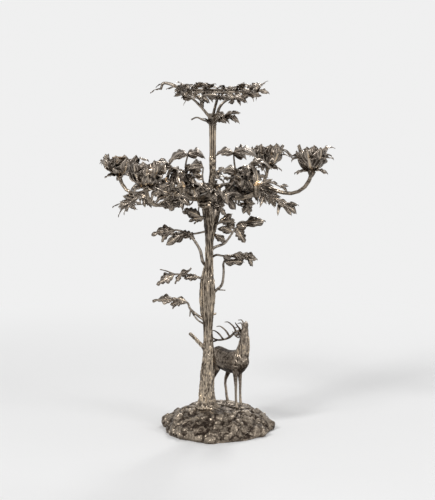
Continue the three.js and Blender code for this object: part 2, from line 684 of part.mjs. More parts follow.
function baseMound() {
  const [low, high] = [MOUND_TOP - 2 * MOUND_WALL, MOUND_TOP + MOUND_WALL];
  const bores = LEGS.filter((leg) => leg.stud).map((leg) => {
    const [x, y] = footPlace(leg);
    return cylinder(STUD_RADIUS + CLEAR, low, high, BORE_SIDES, x, y);
  });
  const rocks = moundShell(0).add(boulders()).asOriginal().simplify(ROCK_SLIVER);
  const shell = rocks.subtract(moundShell(MOUND_WALL));
  return shell.subtract(unite([rodBore(low, high, ROD_X), ...bores]));
}

const upTrunk = ([x, y, percent]) => [x, y, (percent * TRUNK_HEIGHT) / 100];
const trunkAxis = TRUNK_ROWS.map(([percent, x, y]) => upTrunk([x, y, percent]));

// A growth on the trunk, with its heights in millimetres
const grownUp = ({ twigs, leaves = [] }) => ({
  twigs: twigs.map((twig) => ({ ...twig, path: twig.path.map(upTrunk) })),
  leaves: leaves.map((blade) => ({ ...blade, base: upTrunk(blade.base) })),
});

function trunkBody(grow) {
  const barkRing = ([percent, x, y, radius], row) => Array.from({ length: TRUNK_SIDES }, (_, side) => {
    const turn = (2 * Math.PI * side) / TRUNK_SIDES;
    const ridge = side % 2 ? -BARK_DEPTH : BARK_DEPTH;
    const flare = ROOT_FLARE * Math.max(0, 1 - row / ROOT_ROWS) * Math.sin(ROOTS * turn + 1);
    const reach = radius * (1 + ridge + flare) + grow;
    const twist = turn + BARK_TWIST * row;
    return point(upTrunk([x + reach * Math.cos(twist), y + reach * Math.sin(twist), percent]));
  });
  const stubs = CUT_BRANCHES.map((stub) => tube(stub.path.map(upTrunk), stub.radii, 6, grow));
  const companion = tube(COMPANION_STEM.map(upTrunk), COMPANION_RADII, 5, grow);
  return unite([solid(skin(TRUNK_ROWS.map(barkRing))), companion, ...stubs]);
}

// A moulded ring between trunk and hub, with its top at the crown's seat
function crownCollar() {
  const rim = COLLAR_RADIUS;
  const ring = turned([
    [0, 0], [0.68 * rim, 0], [0.88 * rim, 0.17 * COLLAR_HEIGHT], [rim, 0.37 * COLLAR_HEIGHT],
    [0.92 * rim, 0.53 * COLLAR_HEIGHT], [0.98 * rim, 0.73 * COLLAR_HEIGHT], [0.88 * rim, COLLAR_HEIGHT],
    [0, COLLAR_HEIGHT],
  ], COLLAR_SIDES);
  const bore = rodBore(-2 * COLLAR_HEIGHT, COLLAR_HEIGHT, ROD_X - CROWN_X);
  return ring.translate([0, 0, -COLLAR_HEIGHT]).subtract(bore);
}

// A square bar between two heights, or the bore that takes it
const squareBar = (half, low, high, x = 0) => cylinder(half * Math.SQRT2, low, high, 4, x, 0);

function crownHub(grow) {
  const low = hubFoot - grow;
  const rim = HUB_RADIUS + grow;
  const dome = turned([
    [0, low], [rim, low], [1.03 * rim, 0.28 * HUB_HEIGHT], [0.72 * rim, 0.75 * HUB_HEIGHT],
    [0.39 * rim, HUB_HEIGHT], [0, HUB_HEIGHT],
  ], 12);
  return dome.add(tube(LEADER, LEADER_RADII, 8, grow, 5));
}

function crownHubPiece() {
  const rodHole = rodBore(-CLEAR, ROD_REACH + 1, ROD_X - CROWN_X);
  const floor = LEADER_TOP - STEM_PEG_LENGTH - 1;
  const socket = squareBar(STEM_PEG_HALF + CLEAR, floor, LEADER_TOP + 1, STEM_X);
  return crownHub(0).subtract(rodHole).subtract(socket);
}

const branchAxis = [...BRANCH_RISE, [SOCKET_REACH, 0, SOCKET_MOUTH - SOCKET_DEPTH + 5]];

// One branch of the crown, with the socket that takes the arm's peg
function crownBranch(grow) {
  const limb = tube(branchAxis, BRANCH_RADII, 6, grow, 6);
  const outer = (PEG_HALF + CLEAR) * Math.SQRT2 + SOCKET_WALL + grow;
  const low = SOCKET_MOUTH - SOCKET_DEPTH - SOCKET_FLOOR - grow;
  const top = SOCKET_MOUTH + grow;
  const cup = turned([[0, low], [0.72 * outer, low], [0.9 * outer, low + 4], [outer, top], [0, top]], 8);
  return limb.add(cup.translate([SOCKET_REACH, 0, 0]));
}

function crownBranchPiece(azimuth) {
  const floor = SOCKET_MOUTH - SOCKET_DEPTH;
  const bore = squareBar(PEG_HALF + CLEAR, floor, SOCKET_MOUTH + 1, SOCKET_REACH);
  const hub = crownHub(CLEAR).rotate([0, 0, -azimuth]);
  return crownBranch(0).subtract(bore).subtract(hub);
}

const armEnd = (bend) => ARM_RISE + bend;

// The axis of an arm, whose bend grows with the distance from its socket
function armPath(bend) {
  const path = ARM_SWEEP.map(([x, y, z]) => [x, y, z + (bend * x) / ARM_REACH]);
  return [...path, [ARM_REACH, 0, armEnd(bend) - BOSS_HEIGHT / 2]];
}

function candleArmBody(bend, grow) {
  const limb = tube(armPath(bend), ARM_RADII, 6, grow, ARM_STEPS);
  const end = armEnd(bend);
  return limb.add(cylinder(BOSS_RADIUS + grow, end - BOSS_HEIGHT, end + grow, 8, ARM_REACH, 0));
}

function candleArm(bend) {
  const rim = SHOULDER_RADIUS;
  const shoulder = turned([
    [0, CLEAR], [rim, CLEAR], [1.06 * rim, 0.4 * SHOULDER_HEIGHT], [0.66 * rim, SHOULDER_HEIGHT],
    [0, SHOULDER_HEIGHT],
  ], 8);
  const peg = squareBar(PEG_HALF, -PEG_LENGTH, SHOULDER_HEIGHT);
  const end = armEnd(bend);
  const hole = cylinder(ROD_RADIUS + CLEAR, end - SPIGOT_LENGTH - CLEAR, end + 1, 8, ARM_REACH, 0);
  return unite([candleArmBody(bend, 0), shoulder, peg]).subtract(hole);
}

// A leafy rosette about the upright axis: a bored floor that runs out to tips, with gaps between.
// A steep one has a wall that is measured across, and a flat one has none.
function star(count, tip, gap, low, thick, wall) {
  const bore = ROD_RADIUS + CLEAR;
  const loops = Array.from({ length: 2 * count }, (_, column) => {
    const turn = (Math.PI * column) / count;
    const under = column % 2 ? gap : tip;
    const over = under.map(([r, z]) => [r - wall, z + (wall ? thick / 3 : thick)]).reverse();
    const foot = [[ROSETTE_FOOT, low + thick], [bore, low + thick], [bore, low], [ROSETTE_FOOT, low]];
    const loop = [...foot, ...under, ...over];
    return loop.map(([r, z]) => new THREE.Vector3(r * Math.cos(turn), r * Math.sin(turn), z));
  });
  return solid(skin(loops, true));
}

const cupFoot = 2 * CLEAR + DRIP_THICK;
const nozzleFoot = cupFoot + CUP_FLOOR + CLEAR;

function leafCup(side) {
  const petals = star(CUP_PETALS, CUP_RIDGE, CUP_VALLEY, cupFoot, CUP_FLOOR, CUP_WALL);
  const extras = CUP_EXTRAS[side];
  return extras ? petals.add(spray(extras)) : petals;
}

function candleSocket() {
  const outer = CANDLE_RADIUS + CANDLE_WALL;
  const floor = nozzleFoot + NOZZLE_FOOT + CANDLE_FLOOR;
  const rim = floor + CANDLE_DEPTH;
  return turned([
    [0, -SPIGOT_LENGTH], [ROD_RADIUS, -SPIGOT_LENGTH], [ROD_RADIUS, nozzleFoot], [2 * ROD_RADIUS, nozzleFoot],
    [2.5 * ROD_RADIUS, nozzleFoot + NOZZLE_FOOT / 3], [outer, nozzleFoot + NOZZLE_FOOT],
    [outer, rim - CANDLE_WALL], [outer + CANDLE_WALL / 2, rim], [CANDLE_RADIUS, rim],
    [CANDLE_RADIUS, floor], [0, floor],
  ], BORE_SIDES);
}

function upperStem() {
  const levels = [CLEAR, 3, STEM_LENGTH / 2, STEM_LENGTH];
  const rings = levels.map((height, level) => Array.from({ length: 2 * STEM_FLUTES }, (_, side) => {
    const turn = (Math.PI * side) / STEM_FLUTES;
    const reach = STEM_RADII[level] * (1 - STEM_FLUTE_DEPTH * (side % 2));
    return new THREE.Vector3(reach * Math.cos(turn), reach * Math.sin(turn), height);
  }));
  const peg = squareBar(STEM_PEG_HALF, -STEM_PEG_LENGTH, 3);
  const tenon = cylinder(TENON_RADIUS, STEM_LENGTH / 2, STEM_LENGTH + TENON_LENGTH);
  return unite([solid(skin(rings)), peg, tenon]);
}

function basketCup(grow) {
  const low = CLEAR - grow;
  const [foot, mouth] = BASKET_CUP_RADII.map((radius) => radius + grow);
  const top = BASKET_CUP_HEIGHT + grow;
  return turned([
    [0, low], [foot, low], [0.86 * foot, 0.2 * top], [1.14 * foot, 0.5 * top], [mouth, top], [0, top],
  ], CUP_SIDES);
}

function basketCupPiece() {
  const bore = cylinder(TENON_RADIUS + CLEAR, -1, TENON_LENGTH + 1);
  const floor = BASKET_CUP_HEIGHT - BOWL_DEPTH;
  const mouth = BASKET_CUP_RADII[1] - BOWL_WALL;
  const bowl = turned([
    [0, floor], [BOWL_FLOOR, floor], [mouth, BASKET_CUP_HEIGHT], [mouth, BASKET_CUP_HEIGHT + 1],
    [0, BASKET_CUP_HEIGHT + 1],
  ], CUP_SIDES);
  return unite([basketCup(0), spray(STEM_SPRAY)]).subtract(bore).subtract(bowl);
}

// A place on the ring's middle line at a heading
function onRing(azimuth, z, reach = 0) {
  const radius = RING_RADIUS + reach;
  return [RING_X + radius * Math.cos(radians(azimuth)), radius * Math.sin(radians(azimuth)), z];
}

function basketBranch({ azimuth, middle, leaves }) {
  const heading = [Math.cos(radians(azimuth)), Math.sin(radians(azimuth))];
  const start = heading.map((share) => share * BASKET_CUP_RADII[0]);
  const end = onRing(azimuth, RING_BOTTOM);
  const path = [[...start, BASKET_BRANCH_LOW], ...middle, end];
  const above = cylinder(2 * RING_RADIUS, RING_BOTTOM - CLEAR, RING_BOTTOM + RING_HEIGHT);
  const blades = leaves.map(([turn, elevation]) => {
    const roll = LEAF_TILT * Math.cos(radians(turn));
    return leaf({ base: middle.at(-1), azimuth: turn, elevation, length: BASKET_LEAF, roll });
  });
  const limb = tube(path, BASKET_BRANCH_RADII, 5, 0);
  return unite([limb, ...blades]).subtract(basketCup(CLEAR)).subtract(above);
}

// The ring, with a ledge inside its rim where the dish rests
function basketRing(grow) {
  const [inner, outer] = [RING_RADIUS - RING_WIDTH / 2 - grow, RING_RADIUS + RING_WIDTH / 2 + grow];
  const [low, high] = [RING_BOTTOM - grow, RING_BOTTOM + RING_HEIGHT + grow];
  const [step, ledge] = [inner + RING_LEDGE, high - LEDGE_DROP];
  const section = [
    [inner, low], [outer, low], [outer, high], [step, high], [step, ledge], [inner, ledge], [inner, low],
  ];
  return turned(section, RING_SIDES, RING_X, 0);
}

function basketSpray({ from, to, leaves, heading, radii, free }) {
  const level = RING_BOTTOM + RING_HEIGHT + RING_TWIG_LIFT;
  const path = Array.from({ length: RING_TWIG_SPANS + 1 }, (_, step) => onRing(
    THREE.MathUtils.lerp(from, to, step / RING_TWIG_SPANS), level, RING_TWIG_REACH));
  const outwards = Math.sign(from - to);
  const twigs = [{ path, radii: RING_TWIG_RADII, leaves, hands: [outwards, outwards], ...RING_LEAVES }];
  if (free) {
    const [x, y, z] = onRing(heading, level);
    twigs.push({ path: [[x, y, z], ...free.map((p) => [x + p[0], y + p[1], z + p[2]])], radii });
  }
  return spray({ twigs });
}

// A ring of points about the stag's middle plane, square to the way the body runs
function stagRing(rows, row, y, sides) {
  const [before, after] = [rows[Math.max(row - 1, 0)], rows[Math.min(row + 1, rows.length - 1)]];
  const way = new THREE.Vector2(after[0] - before[0], after[1] - before[1]).normalize();
  const [x, z, halfWidth, halfHeight] = rows[row];
  return Array.from({ length: sides }, (_, side) => {
    const turn = (2 * Math.PI * side) / sides;
    const across = halfWidth * Math.cos(turn);
    const over = halfHeight * Math.sin(turn);
    return new THREE.Vector3(x - way.y * over, y + across, z + way.x * over);
  });
}

const stagPart = (rows, y, sides) => solid(skin(rows.map((_, row) => stagRing(rows, row, y, sides))));

function stagLeg(leg) {
  const [x, y] = leg.at;
  const path = (leg.hind ? HIND_LEG : FRONT_LEG).map((p) => [x + p[0], y + p[1], p[2] + CLEAR]);
  const foot = path.at(-1);
  const limb = tube(path, leg.hind ? HIND_LEG_RADII : FRONT_LEG_RADII, 6, 0, 8);
  const below = cylinder(2 * HOOF_ROOM, -2 * HOOF_ROOM, CLEAR, BORE_SIDES, foot[0], y);
  const grounded = limb.subtract(below);
  if (!leg.stud) return grounded;
  const tail = MOUND_WALL + CLEAR + NUT_HEIGHT + THREAD_TAIL;
  return grounded.add(cylinder(STUD_RADIUS, -tail, 3, 8, foot[0], y));
}

function stagBody() {
  const [x, y, z] = EAR.base;
  const ears = [
    leaf(EAR),
    leaf({ ...EAR, base: [x, -y, z], azimuth: 360 - EAR.azimuth, roll: -EAR.roll }),
  ];
  return unite([stagPart(STAG_BARREL, 0, 12), stagPart(STAG_NECK, HEAD_TURN / 2, 10),
    stagPart(STAG_HEAD, HEAD_TURN, 8), ...LEGS.map(stagLeg), ...ears, leaf(TAIL)]);
}

function antler(hand) {
  const place = ([x, y, z]) => [
    ANTLER_ROOT[0] + x, HEAD_TURN + hand * (ANTLER_ROOT[1] + y), ANTLER_ROOT[2] + z,
  ];
  const beam = tube(ANTLER_BEAM.map(place), ANTLER_BEAM_RADII, 5, 0, 7);
  const tines = ANTLER_TINES.map((tine) => tube(tine.map(place), ANTLER_TINE_RADII, 4, 0, 3));
  const seat = stagPart(STAG_HEAD.map(([x, z, w, h]) => [x, z, w + CLEAR, h + CLEAR]), HEAD_TURN, 8);
  return unite([beam, ...tines]).subtract(seat);
}

const nut = (radius, bore, top, x, y) => cylinder(radius, top - NUT_HEIGHT, top, 6, x, y)
  .subtract(cylinder(bore + CLEAR, top - 2 * NUT_HEIGHT, top + 1, BORE_SIDES, x, y));

function groupAt(x, y, z, turn = 0) {
  const group = new THREE.Group();
  group.position.set(x, y, z);
  group.rotation.z = radians(turn);
  return group;
}

// The mound, with the rod, washer and nuts that hold the trunk and the stag on it
function baseGroup() {
  const group = groupAt(0, 0, 0);
  const rodFoot = nutTop - NUT_HEIGHT - THREAD_TAIL;
  const rod = cylinder(ROD_RADIUS, rodFoot, crownSeat + ROD_REACH, BORE_SIDES, ROD_X, 0);
  const washer = cylinder(WASHER_RADIUS, ceiling - WASHER_HEIGHT, ceiling, 12, ROD_X, 0);
  group.add(
    piece('base_mound', MATERIALS.cast, baseMound()),
    piece('tie_rod', MATERIALS.steel, rod),
    piece('tie_rod_washer', MATERIALS.steel, washer.subtract(rodBore(0, MOUND_TOP, ROD_X))),
    piece('tie_rod_nut', MATERIALS.steel, nut(ROD_NUT_RADIUS, ROD_RADIUS, nutTop, ROD_X, 0)),
  );
  for (const leg of LEGS.filter((row) => row.stud)) {
    const name = `stag_nut_${leg.hind ? 'hind' : 'front'}`;
    group.add(piece(name, MATERIALS.steel, nut(STUD_NUT_RADIUS, STUD_RADIUS, ceiling, ...footPlace(leg))));
  }
  return group;
}

function trunkGroup() {
  const group = groupAt(0, 0, trunkFoot);
  const grown = trunkBody(SPRAY_CLEAR);
  group.add(piece('trunk', MATERIALS.bark, trunkBody(0).subtract(rodBore(-1, TRUNK_HEIGHT + 1, ROD_X))));
  for (const [name, growth] of Object.entries(TRUNK_SPRAYS)) {
    const body = spray({ ...rooted(grownUp(growth), trunkAxis), tilt: LEAF_TILT }).subtract(grown);
    group.add(piece(name, MATERIALS.leaf, body, LEAF_SLIVER));
  }
  return group;
}

function stagGroup() {
  const group = groupAt(...STAG_PLACE, MOUND_TOP, STAG_HEADING);
  group.add(
    piece('stag', MATERIALS.cast, stagBody(), HIDE_SLIVER),
    piece('stag_antler_left', MATERIALS.cast, antler(1)),
    piece('stag_antler_right', MATERIALS.cast, antler(-1)),
  );
  return group;
}

function crownGroup() {
  const group = groupAt(CROWN_X, 0, crownSeat);
  group.add(piece('crown_collar', MATERIALS.cast, crownCollar()));
  group.add(piece('crown_hub', MATERIALS.bark, crownHubPiece()));
  for (const { side, azimuth } of ARMS) {
    const branch = groupAt(0, 0, 0, azimuth);
    branch.add(piece(`crown_branch_${side}`, MATERIALS.bark, crownBranchPiece(azimuth)));
    group.add(branch);
  }
  const branches = ARMS.map((arm) => crownBranch(SPRAY_CLEAR).rotate([0, 0, arm.azimuth]));
  const framework = unite([crownHub(SPRAY_CLEAR), ...branches]);
  for (const [name, growth] of Object.entries(CROWN_SPRAYS)) {
    const { azimuth } = ARMS.find((arm) => arm.side === growth.on);
    const up = new THREE.Vector3(0, 0, 1);
    const axis = branchAxis.map((p) => point(p).applyAxisAngle(up, radians(azimuth)).toArray());
    const body = spray({ ...rooted(growth, axis), tilt: LEAF_TILT }).subtract(framework);
    group.add(piece(name, MATERIALS.leaf, body, LEAF_SLIVER));
  }
  return group;
}

// A candle arm with its spray, drip leaves, leaf cup and candle socket
function armGroup({ side, azimuth, bend }) {
  const turned = groupAt(CROWN_X, 0, crownSeat, azimuth);
  const group = groupAt(SOCKET_REACH, 0, SOCKET_MOUTH);
  const growth = rooted(ARM_SPRAYS[side], armPath(bend));
  const leaves = spray(growth).subtract(candleArmBody(bend, SPRAY_CLEAR));
  const cup = groupAt(ARM_REACH, 0, armEnd(bend));
  cup.add(
    piece(`drip_leaves_${side}`, MATERIALS.leaf, star(DRIP_LEAVES, DRIP_TIP, DRIP_GAP, CLEAR, DRIP_THICK, 0)),
    piece(`leaf_cup_${side}`, MATERIALS.leaf, leafCup(side)),
    piece(`candle_socket_${side}`, MATERIALS.fitting, candleSocket()),
  );
  group.add(piece(`candle_arm_${side}`, MATERIALS.bark, candleArm(bend)));
  group.add(piece(`arm_spray_${side}`, MATERIALS.leaf, leaves, LEAF_SLIVER));
  group.add(cup);
  turned.add(group);
  return turned;
}

function topGroup() {
  const group = groupAt(CROWN_X + STEM_X, 0, crownSeat + LEADER_TOP);
  group.add(piece('upper_stem', MATERIALS.bark, upperStem()));
  const basket = groupAt(0, 0, STEM_LENGTH);
  basket.add(piece('basket_cup', MATERIALS.cast, basketCupPiece()));
  basket.add(piece('basket_ring', MATERIALS.cast, basketRing(0)));
  for (const [side, branch] of Object.entries(BASKET_BRANCHES)) {
    basket.add(piece(`basket_branch_${side}`, MATERIALS.bark, basketBranch(branch)));
  }
  const ring = basketRing(SPRAY_CLEAR);
  for (const [side, growth] of Object.entries(BASKET_SPRAYS)) {
    const body = basketSpray(growth).subtract(ring);
    basket.add(piece(`basket_spray_${side}`, MATERIALS.leaf, body, LEAF_SLIVER));
  }
  group.add(basket);
  return group;
}

const assembly = new THREE.Group();
assembly.add(baseGroup(), trunkGroup(), stagGroup(), crownGroup(), ...ARMS.map(armGroup), topGroup());

// The origin goes under the middle of the whole spread
const middle = new THREE.Box3().setFromObject(assembly, true).getCenter(new THREE.Vector3());
assembly.position.set(-middle.x, -middle.y, 0);
const centerpiece = new THREE.Group();
centerpiece.add(assembly);

export default centerpiece;
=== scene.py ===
"""Finish, foliage and stage of a tree-shaped table centerpiece in aged silver plate."""
import math

import bmesh
import bpy
from mathutils import Euler, Matrix, Vector, noise


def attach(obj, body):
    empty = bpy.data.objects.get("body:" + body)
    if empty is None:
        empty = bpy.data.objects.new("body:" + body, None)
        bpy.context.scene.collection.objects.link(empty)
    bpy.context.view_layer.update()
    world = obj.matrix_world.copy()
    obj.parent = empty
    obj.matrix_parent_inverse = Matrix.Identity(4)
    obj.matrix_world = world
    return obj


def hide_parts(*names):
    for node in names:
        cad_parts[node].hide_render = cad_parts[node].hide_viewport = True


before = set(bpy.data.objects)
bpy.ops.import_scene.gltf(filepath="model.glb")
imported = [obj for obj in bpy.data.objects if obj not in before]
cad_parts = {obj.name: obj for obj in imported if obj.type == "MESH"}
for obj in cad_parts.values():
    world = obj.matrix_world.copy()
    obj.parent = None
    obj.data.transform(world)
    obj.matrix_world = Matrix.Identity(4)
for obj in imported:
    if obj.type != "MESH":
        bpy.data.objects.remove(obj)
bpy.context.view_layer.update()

# Sizes below are in millimetres and turns in degrees, where nothing else is said
MM = 0.001

# Camera, as the photograph was taken
CAMERA_PLACE = (6, -2290, 598)
CAMERA_TILT = 83.2
CAMERA_LENS = 93.6
CAMERA_FILM = 36
CAMERA_CLIP = 50

# Stage, in metres and watts: the floor, where it runs into the surroundings, and the lamps
FLOOR_SIZE = 14
FLOOR_NEAR = 0.45
FLOOR_FAR = 1.5
ROOM_LIGHT = 0.45
LAMP_AIM = (0, 0, 0.3)
LAMPS = [
    ("key_light", (-1.5, -1.7, 2.1), 0.6, 40), ("fill_light", (1.9, -1.4, 1.3), 0.8, 16),
    ("back_light", (0.6, 1.9, 1.9), 0.6, 20),
]

# Leaf shapes: lobes a side, half width, fold along the midrib, curl in degrees, and wave of the rim
LEAF_KINDS = dict(
    lobed=[
        (3, 0.25, 0.3, 65, 0.09), (4, 0.22, -0.25, 90, 0.08), (3, 0.27, 0.2, 45, 0.1),
        (4, 0.24, 0.35, 75, 0.08), (3, 0.21, -0.3, 110, 0.08), (3, 0.26, 0.25, 55, 0.11),
    ],
    plain=[(0, 0.16, 0.35, 50, 0.05), (0, 0.19, -0.25, 75, 0.07)],
    arch=[(3, 0.34, 0.3, 95, 0.06)],
    flat=[(3, 0.25, 0.25, 32, 0.09), (4, 0.28, -0.2, 26, 0.08), (2, 0.24, 0.3, 40, 0.1)],
    slim=[(2, 0.11, 0.35, 40, 0.06), (0, 0.1, -0.25, 60, 0.07), (3, 0.13, 0.3, 30, 0.08)],
    rolled=[(3, 0.2, 0.2, 215, 0.05), (2, 0.17, -0.2, 260, 0.04)],
    petal=[(0, 0.4, -0.4, -12, 0.08), (2, 0.46, -0.35, -6, 0.07)],
    rim=[(0, 0.4, -0.3, 100, 0.08), (2, 0.36, -0.2, 70, 0.1)],
)

# Leaf mesh: its steps along and across, and its form as shares of the leaf's length
LEAF_STATIONS = 16
LEAF_COLUMNS = 2
LEAF_THICKNESS = 0.035
STALK_WIDTH = 0.035
RIB_HEIGHT = 0.03
SHOULDER = 0.8
FULLNESS = 0.72
LOBE_DEPTH = 0.62
LOBE_ROUND = 0.6
LOBE_SWEEP = 0.15
WAVE_TURNS = 9
WAVE_SLANT = 2
VEINS = 5.0

# How leaves stand on a twig
LEAF_ROLL = 25
LEAF_TILT = 50
HIGH_TILT = 25
LEAF_RISE = 25
LEAF_CROWD = 2
FIRST_LEAF = 0.3
TIP_LEAF = 0.96
TIP_DROOP = 0.4
LENGTH_STEP = 0.12
SIZE_SPREAD = 0.12
TURN_SPREAD = 0.2
SPREAD_SEED = 3

# Small leaves round the foot of a leaf: how many, their sizes, and how they turn, rise and roll
LEAF_FILL = 2
FILL_SIZE = 0.9
FILL_STEP = 0.6
LEAF_FAN = [(20, -10, 25), (42, 14, -20)]
TRUNK_FAN = 0.45

# Twigs: the steps along and round them, their bark and its grain, their relief and their knots
TWIG_STEP = 3
TWIG_SIDES = 9
TWIG_BARK = 0.35
TWIG_GRAIN = 420
TWIG_LEVEL = 0.45
KNOT_STEP = 4
KNOT_SWELL = 0.16


def leaf(base, azimuth, elevation, length, roll=0, kind="lobed", fill=None):
    """One leaf: its foot, heading, rise, length, roll and family, and the count of small ones round it."""
    return dict(base=base, azimuth=azimuth, elevation=elevation, length=length, roll=roll, kind=kind,
                fill=fill)


def twig(path, radii, leaves=0, length=0, spread=45, droop=20, start=FIRST_LEAF, kind="lobed",
         fill=LEAF_FILL):
    """One twig: its path, its radii at both ends, and the leaves that grow on it from a share of it on."""
    return dict(path=[Vector(point) for point in path], radii=radii, leaves=leaves, length=length,
                spread=spread, droop=droop, start=start, kind=kind, fill=fill)


# Twigs that grow from the trunk, in a frame at its foot
TRUNK_SPRAYS = {
    "trunk_spray_left_1": dict(twigs=[
        twig([(-12, 0, 338), (-26, -9, 344), (-40, -11, 349)], (2.4, 1.4)),
    ], leaves=[
        leaf((-30, -10, 345), 184, 22, 36, -60, "flat", 2),
        leaf((-24, -8, 343), 190, -12, 26, -50, "flat", 2),
    ]),
    "trunk_spray_left_2": dict(twigs=[
        twig([(-16, 0, 254), (-26, -3, 264), (-31, -4, 285), (-44, -5, 306), (-58, -7, 317),
              (-76, -8, 321), (-94, -8, 317)], (3.4, 1.3)),
        twig([(-14, 0, 320), (-30, -4, 316), (-46, -6, 314), (-57, -7, 317)], (2, 1.4)),
    ], leaves=[
        leaf((-46, -5, 308), 184, 34, 40, -30, "flat"),
        leaf((-74, -8, 321), 184, 2, 44, -35, "flat"),
        leaf((-58, -7, 315), 186, -28, 38, -60, "flat"),
        leaf((-88, -8, 318), 186, -48, 24, -60, "flat"),
        leaf((-62, -7, 318), 8, -24, 26, 60, "flat"),
    ]),
    "trunk_spray_left_3": dict(twigs=[
        twig([(-18, 0, 232), (-30, -3, 235), (-52, -5, 241), (-76, -6, 242)], (2.8, 1.6)),
        twig([(-75, -6, 242), (-90, -8, 248), (-102, -8, 251)], (1.4, 1)),
    ], leaves=[
        leaf((-34, -4, 237), 186, -6, 30, -65, "flat"),
        leaf((-76, -6, 242), 184, -34, 38, -60, "flat"),
        leaf((-70, -6, 241), 8, 20, 28, 115, "flat"),
        leaf((-64, -6, 241), 186, -50, 20, -60, "flat"),
    ]),
    "trunk_spray_left_4": dict(twigs=[
        twig([(-18, 0, 156), (-32, -3, 165), (-48, -5, 179), (-54, -5, 191), (-70, -6, 196),
              (-84, -6, 194), (-98, -7, 193)], (2.8, 1.2)),
        twig([(-18, 0, 148), (-36, -3, 160), (-48, -5, 178)], (1.8, 1.4)),
        twig([(-48, -5, 179), (-49.5, -6, 166)], (1.6, 1)),
    ], leaves=[
        leaf((-53, -6, 190), 184, 22, 34, -35, "flat"),
        leaf((-76, -6, 196), 184, 8, 38, -30, "flat"),
        leaf((-70, -6, 194), 186, -32, 22, -60, "plain"),
        leaf((-88, -6, 194), 10, 26, 22, 50, "plain"),
        leaf((-60, -6, 194), 186, -12, 24, -60, "flat"),
    ]),
    "trunk_spray_right_1": dict(twigs=[
        twig([(-12, 0, 326), (4, -8, 334), (14, -10, 338)], (2.4, 1.4)),
    ], leaves=[
        leaf((4, -8, 334), 340, 52, 30, 60, "flat", 2),
        leaf((8, -9, 335), 350, 8, 26, 60, "flat", 2),
    ]),
    "trunk_spray_right_2": dict(twigs=[
        twig([(-14, 0, 278), (-6, -2, 289), (12, -4, 297), (24, -5, 312), (32, -6, 324), (46, -7, 329)],
             (3, 1.3)),
    ], leaves=[
        leaf((34, -7, 326), 354, 26, 58, 55, "flat"),
        leaf((33, -6, 326), 335, -58, 33, 60, "flat"),
        leaf((26, -5, 318), 192, 16, 30, -60, "flat", 2),
        leaf((30, -5, 322), 190, 62, 24, -60, "plain", 2),
        leaf((14, -4, 300), 190, 40, 24, -60, "flat", 2),
    ]),
    "trunk_spray_right_3": dict(twigs=[
        twig([(-12, 0, 204), (-2, -2, 213), (8, -4, 224), (11, -5, 245), (11, -5, 263), (22, -6, 274),
              (36, -7, 278), (52, -7, 276), (64, -8, 271)], (2.8, 1.2)),
        twig([(-14, 0, 268), (-3, -3, 276), (8, -5, 275), (22, -6, 274)], (2.2, 1.6)),
        twig([(-1, -2, 214), (14, -4, 213)], (1.4, 1)),
    ], leaves=[
        leaf((10, -5, 272), 356, 20, 38, 30, "flat"),
        leaf((34, -7, 278), 356, -12, 42, 30, "flat"),
        leaf((14, -6, 262), 355, 20, 36, 60, "flat"),
        leaf((48, -7, 276), 352, -44, 24, 60, "flat"),
        leaf((30, -7, 277), 352, -30, 24, 60, "plain"),
    ]),
}

